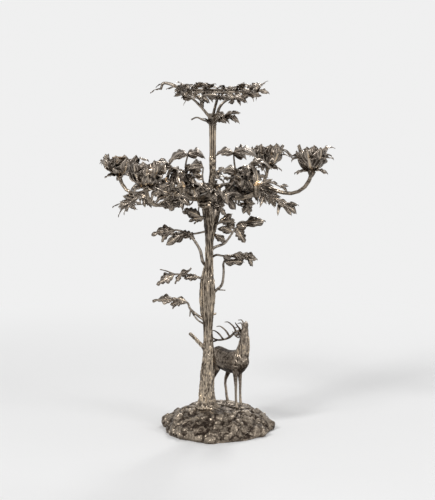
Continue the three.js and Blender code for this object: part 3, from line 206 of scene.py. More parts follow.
# Leafy sprays on the crown's branches, in a frame at the middle of the crown's seat
CROWN_SPRAYS = {
    "crown_spray_left_low": dict(twigs=[
        twig([(-29, 18, 8), (-51, 4, 10), (-75, -6, 22), (-93, -12, 26)], (3, 1.6),
             leaves=3, length=46, spread=46, droop=24),
        twig([(-51, 4, 10), (-65, -18, 10), (-75, -34, 6)], (2, 1.4),
             leaves=1, length=38, spread=44, droop=8),
    ], leaves=[
        leaf((-74, -30, 14), 186, -20, 44, kind="rolled", fill=1),
        leaf((-60, -16, 12), 350, -30, 40, kind="rolled", fill=0),
        leaf((-48, -8, 8), 188, -44, 40, kind="rolled", fill=0),
        leaf((-54, -12, 12), 200, -60, 34, -60, "flat", 0),
    ]),
    "crown_spray_left_high": dict(twigs=[
        twig([(-19, 12, 10), (-35, 4, 28), (-49, -8, 48), (-73, -16, 60)], (3, 1.6),
             leaves=3, length=50, spread=55, droop=50),
        twig([(-43, -3, 40), (-45, -10, 60), (-41, -16, 80)], (2, 1.4)),
        twig([(-8, -13, 18), (-15, -18, 38), (-14, -18, 58)], (1.9, 1.3)),
    ], leaves=[
        leaf((-14, -18, 57), 178, 38, 38, -42, "arch", 1),
        leaf((-15, -18, 44), 184, 10, 30, -50, "slim", 1),
        leaf((-41, -16, 79), 178, 28, 44, -42, "arch", 1),
        leaf((-41, -16, 79), 355, 26, 38, 42, "arch", 0),
        leaf((-45, -10, 60), 20, -20, 34, 50),
    ]),
    "crown_spray_right_low": dict(twigs=[
        twig([(43, -27, 8), (59, -14, 9), (75, -6, 16), (87, -2, 16)], (3, 1.6),
             leaves=3, length=46, spread=46, droop=28),
        twig([(53, -19, 8), (61, -26, -1), (63, -30, -8)], (2, 1.4),
             leaves=1, length=26, droop=50),
    ], leaves=[
        leaf((52, -22, 6), 184, -24, 38, kind="rolled", fill=1),
        leaf((58, -16, 10), 352, -40, 36, kind="rolled", fill=0),
    ]),
    "crown_spray_right_high": dict(twigs=[
        twig([(25, -16, 10), (37, -6, 28), (51, 0, 48), (73, 2, 64)], (3, 1.6),
             leaves=4, length=50, spread=55, droop=54),
        twig([(45, -3, 40), (41, -10, 62), (39, -16, 82)], (2, 1.4)),
    ], leaves=[
        leaf((39, -16, 81), 350, 32, 44, 42, "arch", 1),
        leaf((39, -16, 81), 185, 26, 34, -42, "arch", 0),
        leaf((45, -4, 42), 300, -10, 42, 30),
        leaf((46, -3, 46), 184, 40, 38, -42, "arch", 0),
        leaf((52, 0, 50), 348, 26, 44, 42, "arch", 1),
    ]),
    "crown_spray_front": dict(twigs=[
        twig([(-15, -24, 8), (-3, -36, 11), (13, -44, 14), (27, -50, 12)], (3, 1.6),
             leaves=2, length=34, spread=40, droop=16),
        twig([(-3, -36, 10), (5, -40, 0), (11, -44, -10)], (1.8, 1.3),
             leaves=2, length=24, spread=50, droop=36),
    ], leaves=[
        leaf((16, -45, 12), 350, -34, 36, kind="rolled", fill=1),
        leaf((22, -48, 12), 330, -46, 30, 60, "flat", 1),
    ]),
    "crown_spray_back": dict(twigs=[
        twig([(17, 29, 8), (3, 44, 12), (-15, 56, 22), (-29, 62, 24)], (3, 1.6),
             leaves=3, length=48, spread=50, droop=50),
        twig([(3, 44, 13), (5, 56, 32), (11, 66, 44)], (2, 1.4),
             leaves=1, length=34, spread=45, droop=40),
    ]),
}

# Leafy sprays on the candle arms, in a frame at the arm's socket whose x runs outwards
ARM_SPRAYS = {
    "right": dict(tilt=LEAF_TILT, twigs=[
        twig([(12, 0, 3), (12, -5, -1), (21, -7, 6), (36, -8, 7), (54, -7, 0)], (1.9, 1.2),
             leaves=1, length=22, spread=25, droop=8, kind="plain"),
        twig([(12, -5, -1), (22, -9, -10), (38, -11, -20), (58, -11, -28)], (2, 1),
             leaves=5, length=32, spread=36, droop=20, start=0.1, kind="slim", fill=1),
    ], leaves=[
        leaf((56, -11, -27), 8, -12, 32, 50, "plain", 1),
    ]),
    "back": dict(tilt=LEAF_TILT, twigs=[
        twig([(34, 0, -5), (34, -5, -9), (40, -8, 0), (54, -9, 6)], (1.9, 1.2),
             leaves=2, length=26, spread=45, droop=10),
        twig([(34, -5, -9), (44, -8, -18), (58, -9, -26)], (2, 1.2),
             leaves=2, length=26, spread=45, droop=26),
    ]),
    "left": dict(tilt=-LEAF_TILT, twigs=[
        twig([(56, 0, -19), (56, 5, -23), (48, 7, -31), (40, 7, -38)], (1.8, 1.2),
             leaves=1, length=24, spread=40, droop=24),
        twig([(56, 5, -23), (65, 7, -33), (78, 7, -42), (88, 5, -46)], (2, 1.2),
             leaves=4, length=35, spread=36, droop=14, start=0.05, kind="slim"),
    ], leaves=[
        leaf((84, 6, -44), 2, -10, 30, -50, "plain", 1),
    ]),
    "front": dict(tilt=-LEAF_TILT, twigs=[
        twig([(34, 0, -10), (34, 5, -14), (39, 8, -5), (50, 9, 2)], (1.9, 1.2),
             leaves=2, length=26, spread=45, droop=10),
        twig([(34, 5, -14), (42, 8, -22), (53, 9, -29), (60, 8, -31)], (2, 1.2),
             leaves=1, length=22, spread=40, droop=-20, kind="flat"),
    ]),
}
ARM_AZIMUTHS = dict(right=328, back=58, left=148, front=238)
SOCKET_REACH = 92
SOCKET_MOUTH = 28
WORN_ROOTS = dict(right=12, back=5, left=5, front=5)

# Twigs and leaves beside the petals of some cups, in the cup's frame
CUP_EXTRAS = {
    "right": dict(twigs=[
        twig([(-17, -2, 24), (-34, -4, 21), (-48, -2, 31), (-60, 0, 33), (-74, 2, 24)], (1.5, 1)),
        twig([(-18, -2, 27), (-36, -2, 25), (-49, 0, 34), (-60, 2, 35)], (1.2, 0.8)),
    ], leaves=[leaf((15, 5, 30), 22, 74, 26, 30, "arch")]),
    "left": dict(twigs=[], leaves=[
        leaf((17, 2, 26), 8, 30, 20),
        leaf((-15, -9, 24), -148, 18, 34),
    ]),
}
CUP_PETALS = 5
CUP_ROWS = [
    ("petal", 2.5, 2.5, 47, 44, 0), ("petal", 3, 3.5, 50, 43, 36), ("petal", 4, 5, 57, 38, 18),
    ("rim", 22, 22, 36, 19, 8), ("rim", 18, 23, 50, 18, 44),
]
CUP_SPREAD = dict(left=13)
DRIP_LEAVES = 6
DRIP_LENGTH = 26

# The basket's ring, and the leaves round it as the height of their foot, their rise and length
RING_RADIUS = 65
RING_TWIG_LIFT = 2
RING_TWIG_RADII = (1.8, 1.4)
RING_TWIG_STEPS = 8
RING_LEAF_STEP = 7
RING_LEAVES = [(3, 44, 25), (-3, 24, 27), (4, 34, 25), (-6, 14, 27), (1, 56, 20)]
RING_LEAF_TURN = (58, 84)
RING_SPRAYS = {
    "left": dict(start=215, end=141, heading=190, radii=(3.6, 2),
                 free=[(-10, 2, 5), (-22, 6, 10), (-34, 8, 11), (-39, 8, 0)],
                 shoots=dict(leaves=1, length=28, spread=5, droop=16, start=0.1, kind="slim", fill=0)),
    "right": dict(start=308, end=415, heading=5, radii=(1.8, 1), free=[(6, -2, 6), (15, -4, 13)],
                  shoots=dict(leaves=1, length=10, spread=60, droop=10, fill=0)),
    "front": dict(start=218, end=306),
    "back": dict(start=140, end=58),
}

# Branches between the basket's cup and its ring, in a frame at the cup's foot
BASKET_BRANCHES = {
    "left": dict(twigs=[
        twig([(-6, 0, 15), (-17.5, 0, 29), (-33.5, 0, 45), (-53, 0, 56)], (2.6, 2)),
    ], leaves=[
        leaf((-28, -2, 50), 330, -4, 27, 40),
        leaf((-33.5, 0, 46), 150, 16, 28, -40),
    ]),
    "right": dict(twigs=[
        twig([(6, 0, 15), (14.5, 0, 35), (32.5, 0, 47), (77, 0, 56)], (2.6, 2)),
    ], leaves=[
        leaf((36, 0, 49), 335, 6, 28, 40),
        leaf((32.5, 0, 48), 30, 10, 28, 40),
    ]),
    "front": dict(twigs=[
        twig([(0, -6, 15), (4.5, -24, 33), (8.5, -46, 47), (12, -65, 56)], (2.6, 2)),
    ], leaves=[
        leaf((8.5, -46, 49), 205, 14, 28, -40),
        leaf((8.5, -46, 49), 335, 14, 28, 40),
    ]),
    "back": dict(twigs=[
        twig([(0, 6, 15), (4.5, 24, 33), (8.5, 46, 47), (12, 65, 56)], (2.6, 2)),
    ], leaves=[
        leaf((8.5, 46, 49), 155, 14, 28, -40),
        leaf((8.5, 46, 49), 30, 14, 28, 40),
    ]),
}
STEM_SPRAY = dict(tilt=LEAF_TILT, twigs=[
    twig([(0, 0, 4), (14.5, -3, 11), (26.5, -4, 16)], (2.2, 1.4),
         leaves=2, length=26, spread=35, droop=12),
    twig([(0, 0, 4), (-15.5, -2, 9), (-27.5, -2, 14), (-37.5, -2, 10)], (1.8, 1.3)),
], leaves=[
    leaf((8, -6, 8), 300, 20, 24, 30),
    leaf((4, -8, 12), 340, 34, 24, 40),
    leaf((-3, -6, 2), 250, 56, 18, kind="plain"),
    leaf((4, -6, 2), 290, 60, 19, kind="plain"),
    leaf((-6, -2, 3), 200, 62, 18, kind="plain"),
])

# Antlers, in a frame at their root whose x runs out in front of the stag and y away from its middle
ANTLER_ROOT = (31, 4, 140)
ANTLER_BEAM = [(0, 0, 0), (-9, 5, -2), (-18, 11, -12), (-28, 18, -17), (-40, 24, -18), (-50, 29, -12)]
ANTLER_TINES = [
    [(-2, 1, 0), (2, 6, 7), (-2, 9, 13), (-6, 8, 16)],
    [(-8, 4, -2), (-11, 8, 8), (-20, 12, 15), (-30, 12, 14)],
    [(-18, 11, -11), (-23, 16, 0), (-32, 21, 7), (-42, 21, 5)],
    [(-28, 18, -16), (-34, 22, -7), (-44, 25, -2), (-54, 25, -5)],
    [(-38, 23, -18), (-46, 26, -22), (-56, 27, -20), (-62, 26, -13)],
]
HEAD_TURN = 1
BEAM_RADII = (2.6, 1.2)
TINE_RADII = (1.9, 0.7)

# Relief of the mound: its boulders, stones, crumples and grain, and how far they wander
BOULDER_SIZE = 17
BOULDER_CRACK = 0.16
STONE_SIZE = 8
STONE_CRACK = 0.14
STONE_SHIFT = (3, 1, 7)
CRUMPLE_SIZE = 12
ROCK_GRAIN = 1.6
WANDER_SIZE = 9
WANDER_REACH = 3
FACET_LEAN = 1.1
MOUND_HEART = (0, 0, -60)

# Seed of the wander, which would else be the clock: this one gives the rocks that the checks saw
WANDER_SEED = 1795688155

# Bark, as the size, length and depth of its ridges, and flutes, as their count and depth
TRUNK_BARK = (4.2, 60, 1.4)
COLLAR_BARK = (5, 5, 0.8)
HUB_BARK = (4.5, 7, 0.7)
BRANCH_BARK = (3, 14, 0.4)
ARM_BARK = (3, 14, 0.35)
RING_BARK = (3, 3, 0.4)
STEM_FLUTES = (8, 0.7)

# Carved skins, as the size of their voxels and the rounds of smoothing
MOUND_SKIN = (1.2, 3)
TRUNK_SKIN = (0.9, 6)
COLLAR_SKIN = (0.8, 4)
HUB_SKIN = (0.7, 3)
LIMB_SKIN = (0.6, 3)
STAG_SKIN = (0.55, 6)
BASKET_SKIN = (0.6, 2)

# Heights on the trunk between which the bark turns scaly, is painted darker as shade under the crown, and is
# rubbed bright
SCALY = (190, 90)
SHADED = (270, 340)
RUBBED_ABOVE = (8, 16)
RUBBED_BELOW = (36, 24)
SCALE_SIZE = 2.4
SCALE_LENGTH = 7
# How much darker the bark is painted at the top of the trunk, as shade under the crown
SHADE_DEPTH = 0.34
RUB_DEPTH = 0.2

# Muscles of the stag, in its own frame: middle, reach and height
MUSCLES = [
    ((32, -6, 80), 12, 0.5), ((20, 15, 82), 13, 1.2), ((-34, -15, 84), 15, 1.6), ((-30, 15, 84), 15, 1.6),
    ((-6, -16, 74), 14, 0.6), ((-14, 16, 76), 14, 0.6), ((27, -12, 66), 7, 0.7), ((-30, -11, 62), 8, 1),
    ((33, 0, 104), 12, 0.6), ((4, -17, 88), 9, -0.8), ((-18, -17, 86), 8, -0.9), ((12, -16, 90), 7, -0.6),
    ((38, -5, 141), 3.5, 0.6), ((38, 5, 141), 3.5, 0.6),
]
MUSCLE_EDGE = 2.5

# Heights and reaches on the stag between which its ruff, neck, back and legs begin
RUFF_ABOVE = (74, 88)
RUFF_BELOW = (136, 126)
RUFF_AHEAD = (20, 30)
NECK_ABOVE = (90, 106)
NECK_AHEAD = (18, 26)
BACK_ABOVE = (84, 90)
BACK_BEHIND = (20, 10)
LEGS_BELOW = (56, 36)

# The candle nozzle and the small cup, as radius and height
NOZZLE = [
    (0.01, -4), (2, -4), (2, 3.5), (4, 3.5), (5, 6.5), (8, 9), (12, 11.6), (12.8, 13), (12.8, 15),
    (13.3, 15.6), (12.8, 16.2), (12.6, 24), (12.8, 31), (13.3, 31.6), (13.6, 33), (13.3, 34),
    (11.4, 34), (11.3, 33), (11.3, 14), (0.01, 14),
]
BASKET_CUP = [
    (0.01, 0.3), (7.2, 0.3), (7.3, 1.6), (6.3, 3), (6.2, 4.5), (7, 7), (8.1, 10), (8.5, 13), (9, 17),
    (10, 20), (10, 21), (8.5, 21), (6.5, 17), (4, 13), (0.01, 13),
]
TURNED_STEPS = 72
TURNED_EDGE = 0.25
TURNED_LEVEL = 0.55
TURNED_SWING = 0.2
TURNED_CLOUD = 5

# Metal finishes: colours in linear light
SILVER = (0.46, 0.4, 0.335, 1)
LEAF_SILVER = (0.5, 0.435, 0.37, 1)
WARM_SILVER = (0.5, 0.42, 0.33, 1)
TARNISH = (0.045, 0.033, 0.025, 1)
WORN = (0.56, 0.44, 0.3, 1)
STEEL = (0.3, 0.3, 0.31, 1)
PALE = (0.87, 0.87, 0.87, 1)
FLOOR_SHADE = (0.7, 0.7, 0.7, 1)

# Levels of the relief from which the plate is clean, and between which it is rubbed
CLEAN_LEVEL = 0.92
RUBBED_LEVELS = (0.74, 1.15)
TARNISH_ROUGHNESS = 0.55
NOISE_BAND = (0.3, 0.7)
SPECK = 0.12

# Frames of the parts, in the row frame
TRUNK_FOOT = (6.027, 0, 40.3)
CROWN_SEAT = (-4.973, 0, 414)
TOP_SEAT = (-2.473, 0, 488)
BASKET_FOOT = 545
RING_CENTRE = (9.527, 0, 605)
STAG_PLACE = (29.927, 18.3, 40)
STAG_TURN = -50
ARM_END = dict(right=(108, 0, 29), back=(108, 0, 21), left=(108, 0, 9), front=(108, 0, 5))
DRIP_HEIGHT = 1.6
DRIP_RADIUS = 4

# Points of a mesh that are this close are merged: in metres, and in shares of a leaf
MERGE_GAP = 0.001 * MM
LEAF_GAP = 1e-4


def placed(point, turn=0):
    """The frame at a point, in millimetres, turned about the upright line by degrees."""
    return Matrix.Translation(Vector(point)) @ Matrix.Rotation(math.radians(turn), 4, "Z")


def arm_frame(side):
    """The frame of a candle arm, whose x runs outwards from its socket."""
    return placed(CROWN_SEAT, ARM_AZIMUTHS[side]) @ placed((SOCKET_REACH, 0, SOCKET_MOUTH))


# Curves and small sums

def curve_point(path, share):
    """The point and the direction at a share of a smooth path through its points."""
    place = min(share, 1) * (len(path) - 1)
    low = min(int(place), len(path) - 2)
    part = place - low
    start, end = path[low], path[low + 1]
    before = path[low - 1] if low else 2 * start - end
    after = path[low + 2] if low + 2 < len(path) else 2 * end - start
    leave, arrive = (end - before) / 2, (after - start) / 2
    bend = 2 * start - 2 * end + leave + arrive
    lean = 3 * (end - start) - 2 * leave - arrive
    point = start + part * (leave + part * (lean + part * bend))
    way = leave + part * (2 * lean + 3 * part * bend)
    return point, way.normalized()


def round_point(radius, azimuth, height):
    """The point at a radius, heading and height from an upright line."""
    way = math.radians(azimuth)
    return Vector((radius * math.cos(way), radius * math.sin(way), height))


def mix(low, high, share):
    """The value a share of the way between two."""
    return low + (high - low) * share


def ease(low, high, value):
    """0 below low, 1 above high, and a smooth step between."""
    share = min(max((value - low) / (high - low), 0), 1)
    return share * share * (3 - 2 * share)


# Objects and meshes

def new_object(name, data):
    """An object of some data, in the scene."""
    made = bpy.data.objects.new(name, data)
    bpy.context.scene.collection.objects.link(made)
    return made


def closed_mesh(name, form, gap):
    """The mesh of a form, with points within a gap merged and its faces outward."""
    bmesh.ops.remove_doubles(form, verts=form.verts, dist=gap)
    bmesh.ops.recalc_face_normals(form, faces=form.faces)
    mesh = bpy.data.meshes.new(name)
    form.to_mesh(mesh)
    form.free()
    return mesh


def plain_copy(source, name):
    """A plain mesh object of what an object's modifiers make, in place of that object."""
    seen = source.evaluated_get(bpy.context.evaluated_depsgraph_get())
    mesh = bpy.data.meshes.new_from_object(seen)
    bpy.data.objects.remove(source)
    mesh.name = name
    for face in mesh.polygons:
        face.use_smooth = True
    return new_object(name, mesh)


# Node trees

SOCKET_KINDS = {float: "Float", int: "Int", tuple: "Color"}


def add_node(tree, kind, inputs=None, **settings):
    """A node with its settings, and inputs given as a value, an output, or a node's first output."""
    node = tree.nodes.new(kind)
    for name, value in settings.items():
        setattr(node, name, value)
    for name, value in (inputs or {}).items():
        if isinstance(value, bpy.types.Node):
            value = value.outputs[0]
        if isinstance(value, bpy.types.NodeSocket):
            tree.links.new(value, node.inputs[name])
        else:
            node.inputs[name].default_value = value
    return node


def named_group(name, kind, inputs, outputs):
    """A node group with named inputs and outputs, and the nodes at its two ends.

    An input is given by its value, or by the kind of its socket where it has none.
    """
    tree = bpy.data.node_groups.new(name, kind)
    for label, value in inputs.items():
        bare = isinstance(value, str)
        socket = "NodeSocket" + (value if bare else SOCKET_KINDS[type(value)])
        made = tree.interface.new_socket(label, in_out="INPUT", socket_type=socket)
        if not bare:
            made.default_value = value
    for label, socket in outputs.items():
        tree.interface.new_socket(label, in_out="OUTPUT", socket_type="NodeSocket" + socket)
    return tree, tree.nodes.new("NodeGroupInput").outputs, tree.nodes.new("NodeGroupOutput")


def blended(tree, share, low, high):
    """The colour output of a mix of two colours."""
    return add_node(tree, "ShaderNodeMix", {0: share, 6: low, 7: high}, data_type="RGBA").outputs[2]


def maths(tree, operation, first, second=0.0):
    """The output of a sum of two values or outputs."""
    return add_node(tree, "ShaderNodeMath", {0: first, 1: second}, operation=operation).outputs["Value"]


def ranged(tree, value, low, high, start, end, smooth=True):
    """The output of a value carried from one range to another."""
    kind = "SMOOTHSTEP" if smooth else "LINEAR"
    node = add_node(tree, "ShaderNodeMapRange", {
        "Value": value, "From Min": low, "From Max": high, "To Min": start, "To Max": end},
        interpolation_type=kind)
    return node.outputs["Result"]


# Materials

def patina_group():
    """Tarnish left in the hollows, silver on the flanks and worn metal on what stands out."""
    tree, given, out = named_group("silver_patina", "ShaderNodeTree", {
        "Place": "Vector", "Relief": 0.5, "Silver": SILVER, "Worn": WORN, "Cloud scale": 45.0,
        "Grain scale": 900.0, "Tarnish reach": 0.1, "Shine": 0.24, "Stain": 0.3,
    }, {"Color": "Color", "Roughness": "Float", "Height": "Float"})
    cloud = add_node(tree, "ShaderNodeTexNoise", {
        "Vector": given["Place"], "Scale": given["Cloud scale"], "Detail": 5, "Roughness": 0.66})
    grain = add_node(tree, "ShaderNodeTexNoise", {
        "Vector": given["Place"], "Scale": given["Grain scale"], "Detail": 3})
    spread = ranged(tree, cloud.outputs["Fac"], *NOISE_BAND, -1, 1, smooth=False)
    swing = maths(tree, "MULTIPLY", spread, given["Stain"])
    speck = ranged(tree, grain.outputs["Fac"], *NOISE_BAND, -SPECK, SPECK, smooth=False)
    level = maths(tree, "ADD", maths(tree, "ADD", given["Relief"], swing), speck)
    clean = ranged(tree, level, given["Tarnish reach"], CLEAN_LEVEL, 0, 1, smooth=False)
    rubbed = ranged(tree, level, *RUBBED_LEVELS, 0, 1)
    base = blended(tree, clean, TARNISH, given["Silver"])
    top = blended(tree, rubbed, base, given["Worn"])
    rough = ranged(tree, level, 0.1, 1, TARNISH_ROUGHNESS, given["Shine"], smooth=False)
    tree.links.new(top, out.inputs["Color"])
    tree.links.new(rough, out.inputs["Roughness"])
    tree.links.new(grain.outputs["Fac"], out.inputs["Height"])
    return tree


def vein_group():
    """A leaf's midrib and swept side veins, from its place along and across the leaf, and a painted highlight
    along its rim.
    """
    tree, given, out = named_group("leaf_veins", "ShaderNodeTree", {
        "Place": "Vector", "Veins": VEINS, "Sweep": 2.2, "Vein width": 0.22, "Rib width": 0.2,
    }, {"Relief": "Float"})
    parts = add_node(tree, "ShaderNodeSeparateXYZ", {"Vector": given["Place"]})
    aside = maths(tree, "ABSOLUTE", maths(tree, "SUBTRACT", parts.outputs["Y"], 0.5))
    side = maths(tree, "MULTIPLY", aside, 2)
    along = maths(tree, "MULTIPLY", parts.outputs["X"], given["Veins"])
    phase = maths(tree, "SUBTRACT", along, maths(tree, "MULTIPLY", side, given["Sweep"]))
    swing = maths(tree, "PINGPONG", phase, 0.5)
    vein = ranged(tree, swing, 0, given["Vein width"], 0.72, 0)
    rib = ranged(tree, side, 0.03, given["Rib width"], 1, 0)
    # painted highlight: the rim of the leaf is made bright, and is raised in the bump too
    rim = ranged(tree, side, 0.8, 1, 0, 0.7)
    line = maths(tree, "MAXIMUM", maths(tree, "MAXIMUM", vein, rib), rim)
    tree.links.new(line, out.inputs["Relief"])
    return tree


def metal(name, silver=SILVER, worn=WORN, reach=0.1, cloud=45, grain=900, depth=0.05, shine=0.22, stain=0.3):
    """A metal finish whose stains and wear follow the relief of the surface."""
    material = bpy.data.materials.new(name)
    material.use_nodes = True
    tree = material.node_tree
    surface = tree.nodes["Principled BSDF"]
    place = add_node(tree, "ShaderNodeTexCoord").outputs["Object"]
    relief = add_node(tree, "ShaderNodeAttribute", attribute_name="relief").outputs["Fac"]
    plate = add_node(tree, "ShaderNodeGroup", {"Place": place, "Relief": relief}, node_tree=PATINA)
    values = {"Silver": silver, "Worn": worn, "Tarnish reach": reach, "Cloud scale": cloud,
              "Grain scale": grain, "Shine": shine, "Stain": stain}
    for label, value in values.items():
        plate.inputs[label].default_value = value
    bump = add_node(tree, "ShaderNodeBump", {
        "Height": plate.outputs["Height"], "Strength": 0.6, "Distance": depth * MM})
    tree.links.new(plate.outputs["Color"], surface.inputs["Base Color"])
    tree.links.new(plate.outputs["Roughness"], surface.inputs["Roughness"])
    tree.links.new(bump.outputs["Normal"], surface.inputs["Normal"])
    surface.inputs["Metallic"].default_value = 1
    return material


def leaf_metal(name):
    """The finish of the leaves, with tarnish between raised veins and a painted highlight along the rim."""
    material = metal(name, silver=LEAF_SILVER, grain=1300, depth=0.5)
    tree = material.node_tree
    plate = next(node for node in tree.nodes if node.type == "GROUP")
    bump = next(node for node in tree.nodes if node.type == "BUMP")
    spot = add_node(tree, "ShaderNodeUVMap", uv_map="leaf").outputs["UV"]
    relief = add_node(tree, "ShaderNodeGroup", {"Place": spot}, node_tree=vein_group()).outputs["Relief"]
    level = ranged(tree, relief, 0, 1, 0.26, 1, smooth=False)
    tree.links.new(level, plate.inputs["Relief"])
    fine = maths(tree, "MULTIPLY", plate.outputs["Height"], 0.25)
    tree.links.new(maths(tree, "ADD", relief, fine), bump.inputs["Height"])
    return material


def steel(name):
    """Plain steel of the hidden rod and nuts, with dull stains."""
    material = metal(name, silver=STEEL, worn=STEEL, reach=-0.3)
    material.node_tree.nodes["Principled BSDF"].inputs["Metallic"].default_value = 0.9
    return material


def seen_directly(tree):
    """1 for what the camera sees, straight or in metal and glass, and 0 for light on the object."""
    path = add_node(tree, "ShaderNodeLightPath").outputs
    mirrored = maths(tree, "MAXIMUM", path["Is Glossy Ray"], path["Is Transmission Ray"])
    return maths(tree, "MAXIMUM", path["Is Camera Ray"], mirrored)


def pale_floor():
    """A plain pale floor that takes the shadow, and runs into the pale surroundings further out."""
    material = bpy.data.materials.new("pale_table_top")
    material.use_nodes = True
    tree = material.node_tree
    surface = tree.nodes["Principled BSDF"]
    place = add_node(tree, "ShaderNodeTexCoord").outputs["Object"]
    mottle = add_node(tree, "ShaderNodeTexNoise", {"Vector": place, "Scale": 3, "Detail": 2})
    shade = ranged(tree, mottle.outputs["Fac"], 0, 1, 0.9, 1)
    tree.links.new(blended(tree, shade, FLOOR_SHADE, PALE), surface.inputs["Base Color"])
    surface.inputs["Roughness"].default_value = 0.8
    away = add_node(tree, "ShaderNodeVectorMath", {0: place}, operation="LENGTH").outputs["Value"]
    far = ranged(tree, away, FLOOR_NEAR, FLOOR_FAR, 0, 1)
    glow = add_node(tree, "ShaderNodeEmission", {"Color": PALE, "Strength": 1})
    share = maths(tree, "MULTIPLY", far, seen_directly(tree))
    both = add_node(tree, "ShaderNodeMixShader", {0: share, 1: surface, 2: glow})
    tree.links.new(both.outputs["Shader"], tree.nodes["Material Output"].inputs["Surface"])
    return material


# Carved forms: fine skins over the CAD solids

def skin_of(name, node, voxel, smooth):
    """One fine closed skin over the shape of a CAD node, as an object of its own."""
    form = bmesh.new()
    form.from_mesh(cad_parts[node].data)
    rough = new_object(name, closed_mesh(name, form, MERGE_GAP))
    remesh = rough.modifiers.new("Skin", "REMESH")
    remesh.mode = "VOXEL"
    remesh.voxel_size = voxel * MM
    smoother = rough.modifiers.new("Smooth", "SMOOTH")
    smoother.iterations = smooth
    return plain_copy(rough, name)


def carve(piece, rule, place):
    """Moves each point along its normal by a rule, which also gives the relief there."""
    mesh = piece.data
    inward = place.inverted()
    turn = inward.to_3x3()
    relief = mesh.attributes.new("relief", "FLOAT", "POINT")
    normals = [vertex.normal.copy() for vertex in mesh.vertices]
    for vertex, normal in zip(mesh.vertices, normals):
        offset, level = rule(inward @ (vertex.co / MM), turn @ normal)
        vertex.co += normal * offset * MM
        relief.data[vertex.index].value = level
    mesh.update()


def cracks(place, width):
    """0 in the cracks between cells, rising to 1 over a width, and the height of the leaning cell."""
    near, points = noise.voronoi(place)
    lean = noise.cell_vector(points[0] * 7.3) - Vector((0.5, 0.5, 0.5))
    height = noise.cell(points[0] * 7.3) + FACET_LEAN * lean.dot(place - points[0])
    return ease(0.02, width, near[1] - near[0]), height


def ridged(spot):
    """1 along a net of thin ridges, falling to 0 in the hollows between."""
    return 1 - min(1, 2.4 * abs(noise.noise(spot)))


def stretched(place, across, aside, along):
    """A place in a pattern that is drawn out to these sizes along x, y and z."""
    return Vector((place.x / across, place.y / aside, place.z / along))


def rock_rule(place, normal):
    """Broken rock on the outside of the mound, flat where it meets the table."""
    outward = normal.dot((place - Vector(MOUND_HEART)).normalized())
    show = ease(0.05, 0.3, outward) * ease(0.6, 5, place.z)
    warp = WANDER_REACH * noise.noise_vector(place / WANDER_SIZE)
    big, tall = cracks((place + warp) / BOULDER_SIZE, BOULDER_CRACK)
    small, low = cracks((place - warp) / STONE_SIZE + Vector(STONE_SHIFT), STONE_CRACK)
    small = mix(1, small, ease(0.3, 0.6, low))
    crumple = noise.ridged_multi_fractal((place + warp) / CRUMPLE_SIZE, 0.9, 2.3, 4, 0.95, 1.5) / 2
    fine = noise.fractal(place / ROCK_GRAIN, 1, 2, 3)
    offset = 1.3 * (big - 0.7) + 2 * tall + 0.8 * (small - 0.6) + low + 1.3 * (crumple - 0.5) + 0.15 * fine
    level = 0.2 * big - 0.05 + 0.12 * small + 0.44 * crumple + 0.1 * fine
    level += 0.12 * (tall - 0.5) + 0.1 * (low - 0.5)
    return show * offset, mix(0.35, level, show)


def bark_rule(size, length, depth, trunk=False):
    """Old bark: a net of raised ridges a size apart, drawn out to a length along z.

    On the trunk the net is finer and shorter further down, the foot is rubbed bright, and the top is painted
    dark as shade under the crown.
    """
    def rule(place, normal):
        spot = stretched(place, size, size, length)
        wander = 0.9 * noise.noise(spot * 0.4)
        ridge = ridged(spot + Vector((wander, wander, 0)))
        thin = ridged(Vector((spot.x * 2.3, spot.y * 2.3, spot.z * 4)))
        ridge = 0.62 * ridge + 0.38 * thin
        if trunk:
            net = ridged(stretched(place, SCALE_SIZE, SCALE_SIZE, SCALE_LENGTH))
            ridge = mix(ridge, 0.45 * ridge + 0.55 * net, ease(*SCALY, place.z))
            ridge += RUB_DEPTH * ease(*RUBBED_BELOW, place.z) * ease(*RUBBED_ABOVE, place.z)
        fibre = noise.fractal(Vector((spot.x * 3.5, spot.y * 3.5, spot.z * 4)), 1, 2, 3)
        offset = depth * (ridge * ridge + 0.45 * fibre - 0.35)
        level = 1.1 * ridge ** 1.3 + 0.42 * fibre
        if trunk:
            # painted shade: the top of the trunk is darkened as if in the crown's shadow
            level -= SHADE_DEPTH * ease(*SHADED, place.z)
        return offset, level
    return rule


def flute_rule(count, depth):
    """Bright flutes round an upright line, with dark grooves between."""
    def rule(place, normal):
        turn = math.atan2(place.y, place.x)
        swell = 0.5 + 0.5 * math.cos(count * turn)
        fibre = noise.fractal(stretched(place, 1.5, 1.5, 12), 1, 2, 3)
        return depth * (swell - 0.5 + 0.25 * fibre), 0.08 + 0.8 * swell + 0.3 * fibre
    return rule


def limb_rule(bark, worn_root=0):
    """Bark that runs along the limb's x, rubbed bare up to a distance from its root."""
    upright = bark_rule(*bark)

    def rule(place, normal):
        offset, level = upright(Vector((place.y, place.z, place.x)), normal)
        bare = ease(worn_root, 0.6 * worn_root, place.x) if worn_root else 0
        return offset, mix(0.25 + 0.6 * level, 1.15, bare)
    return rule


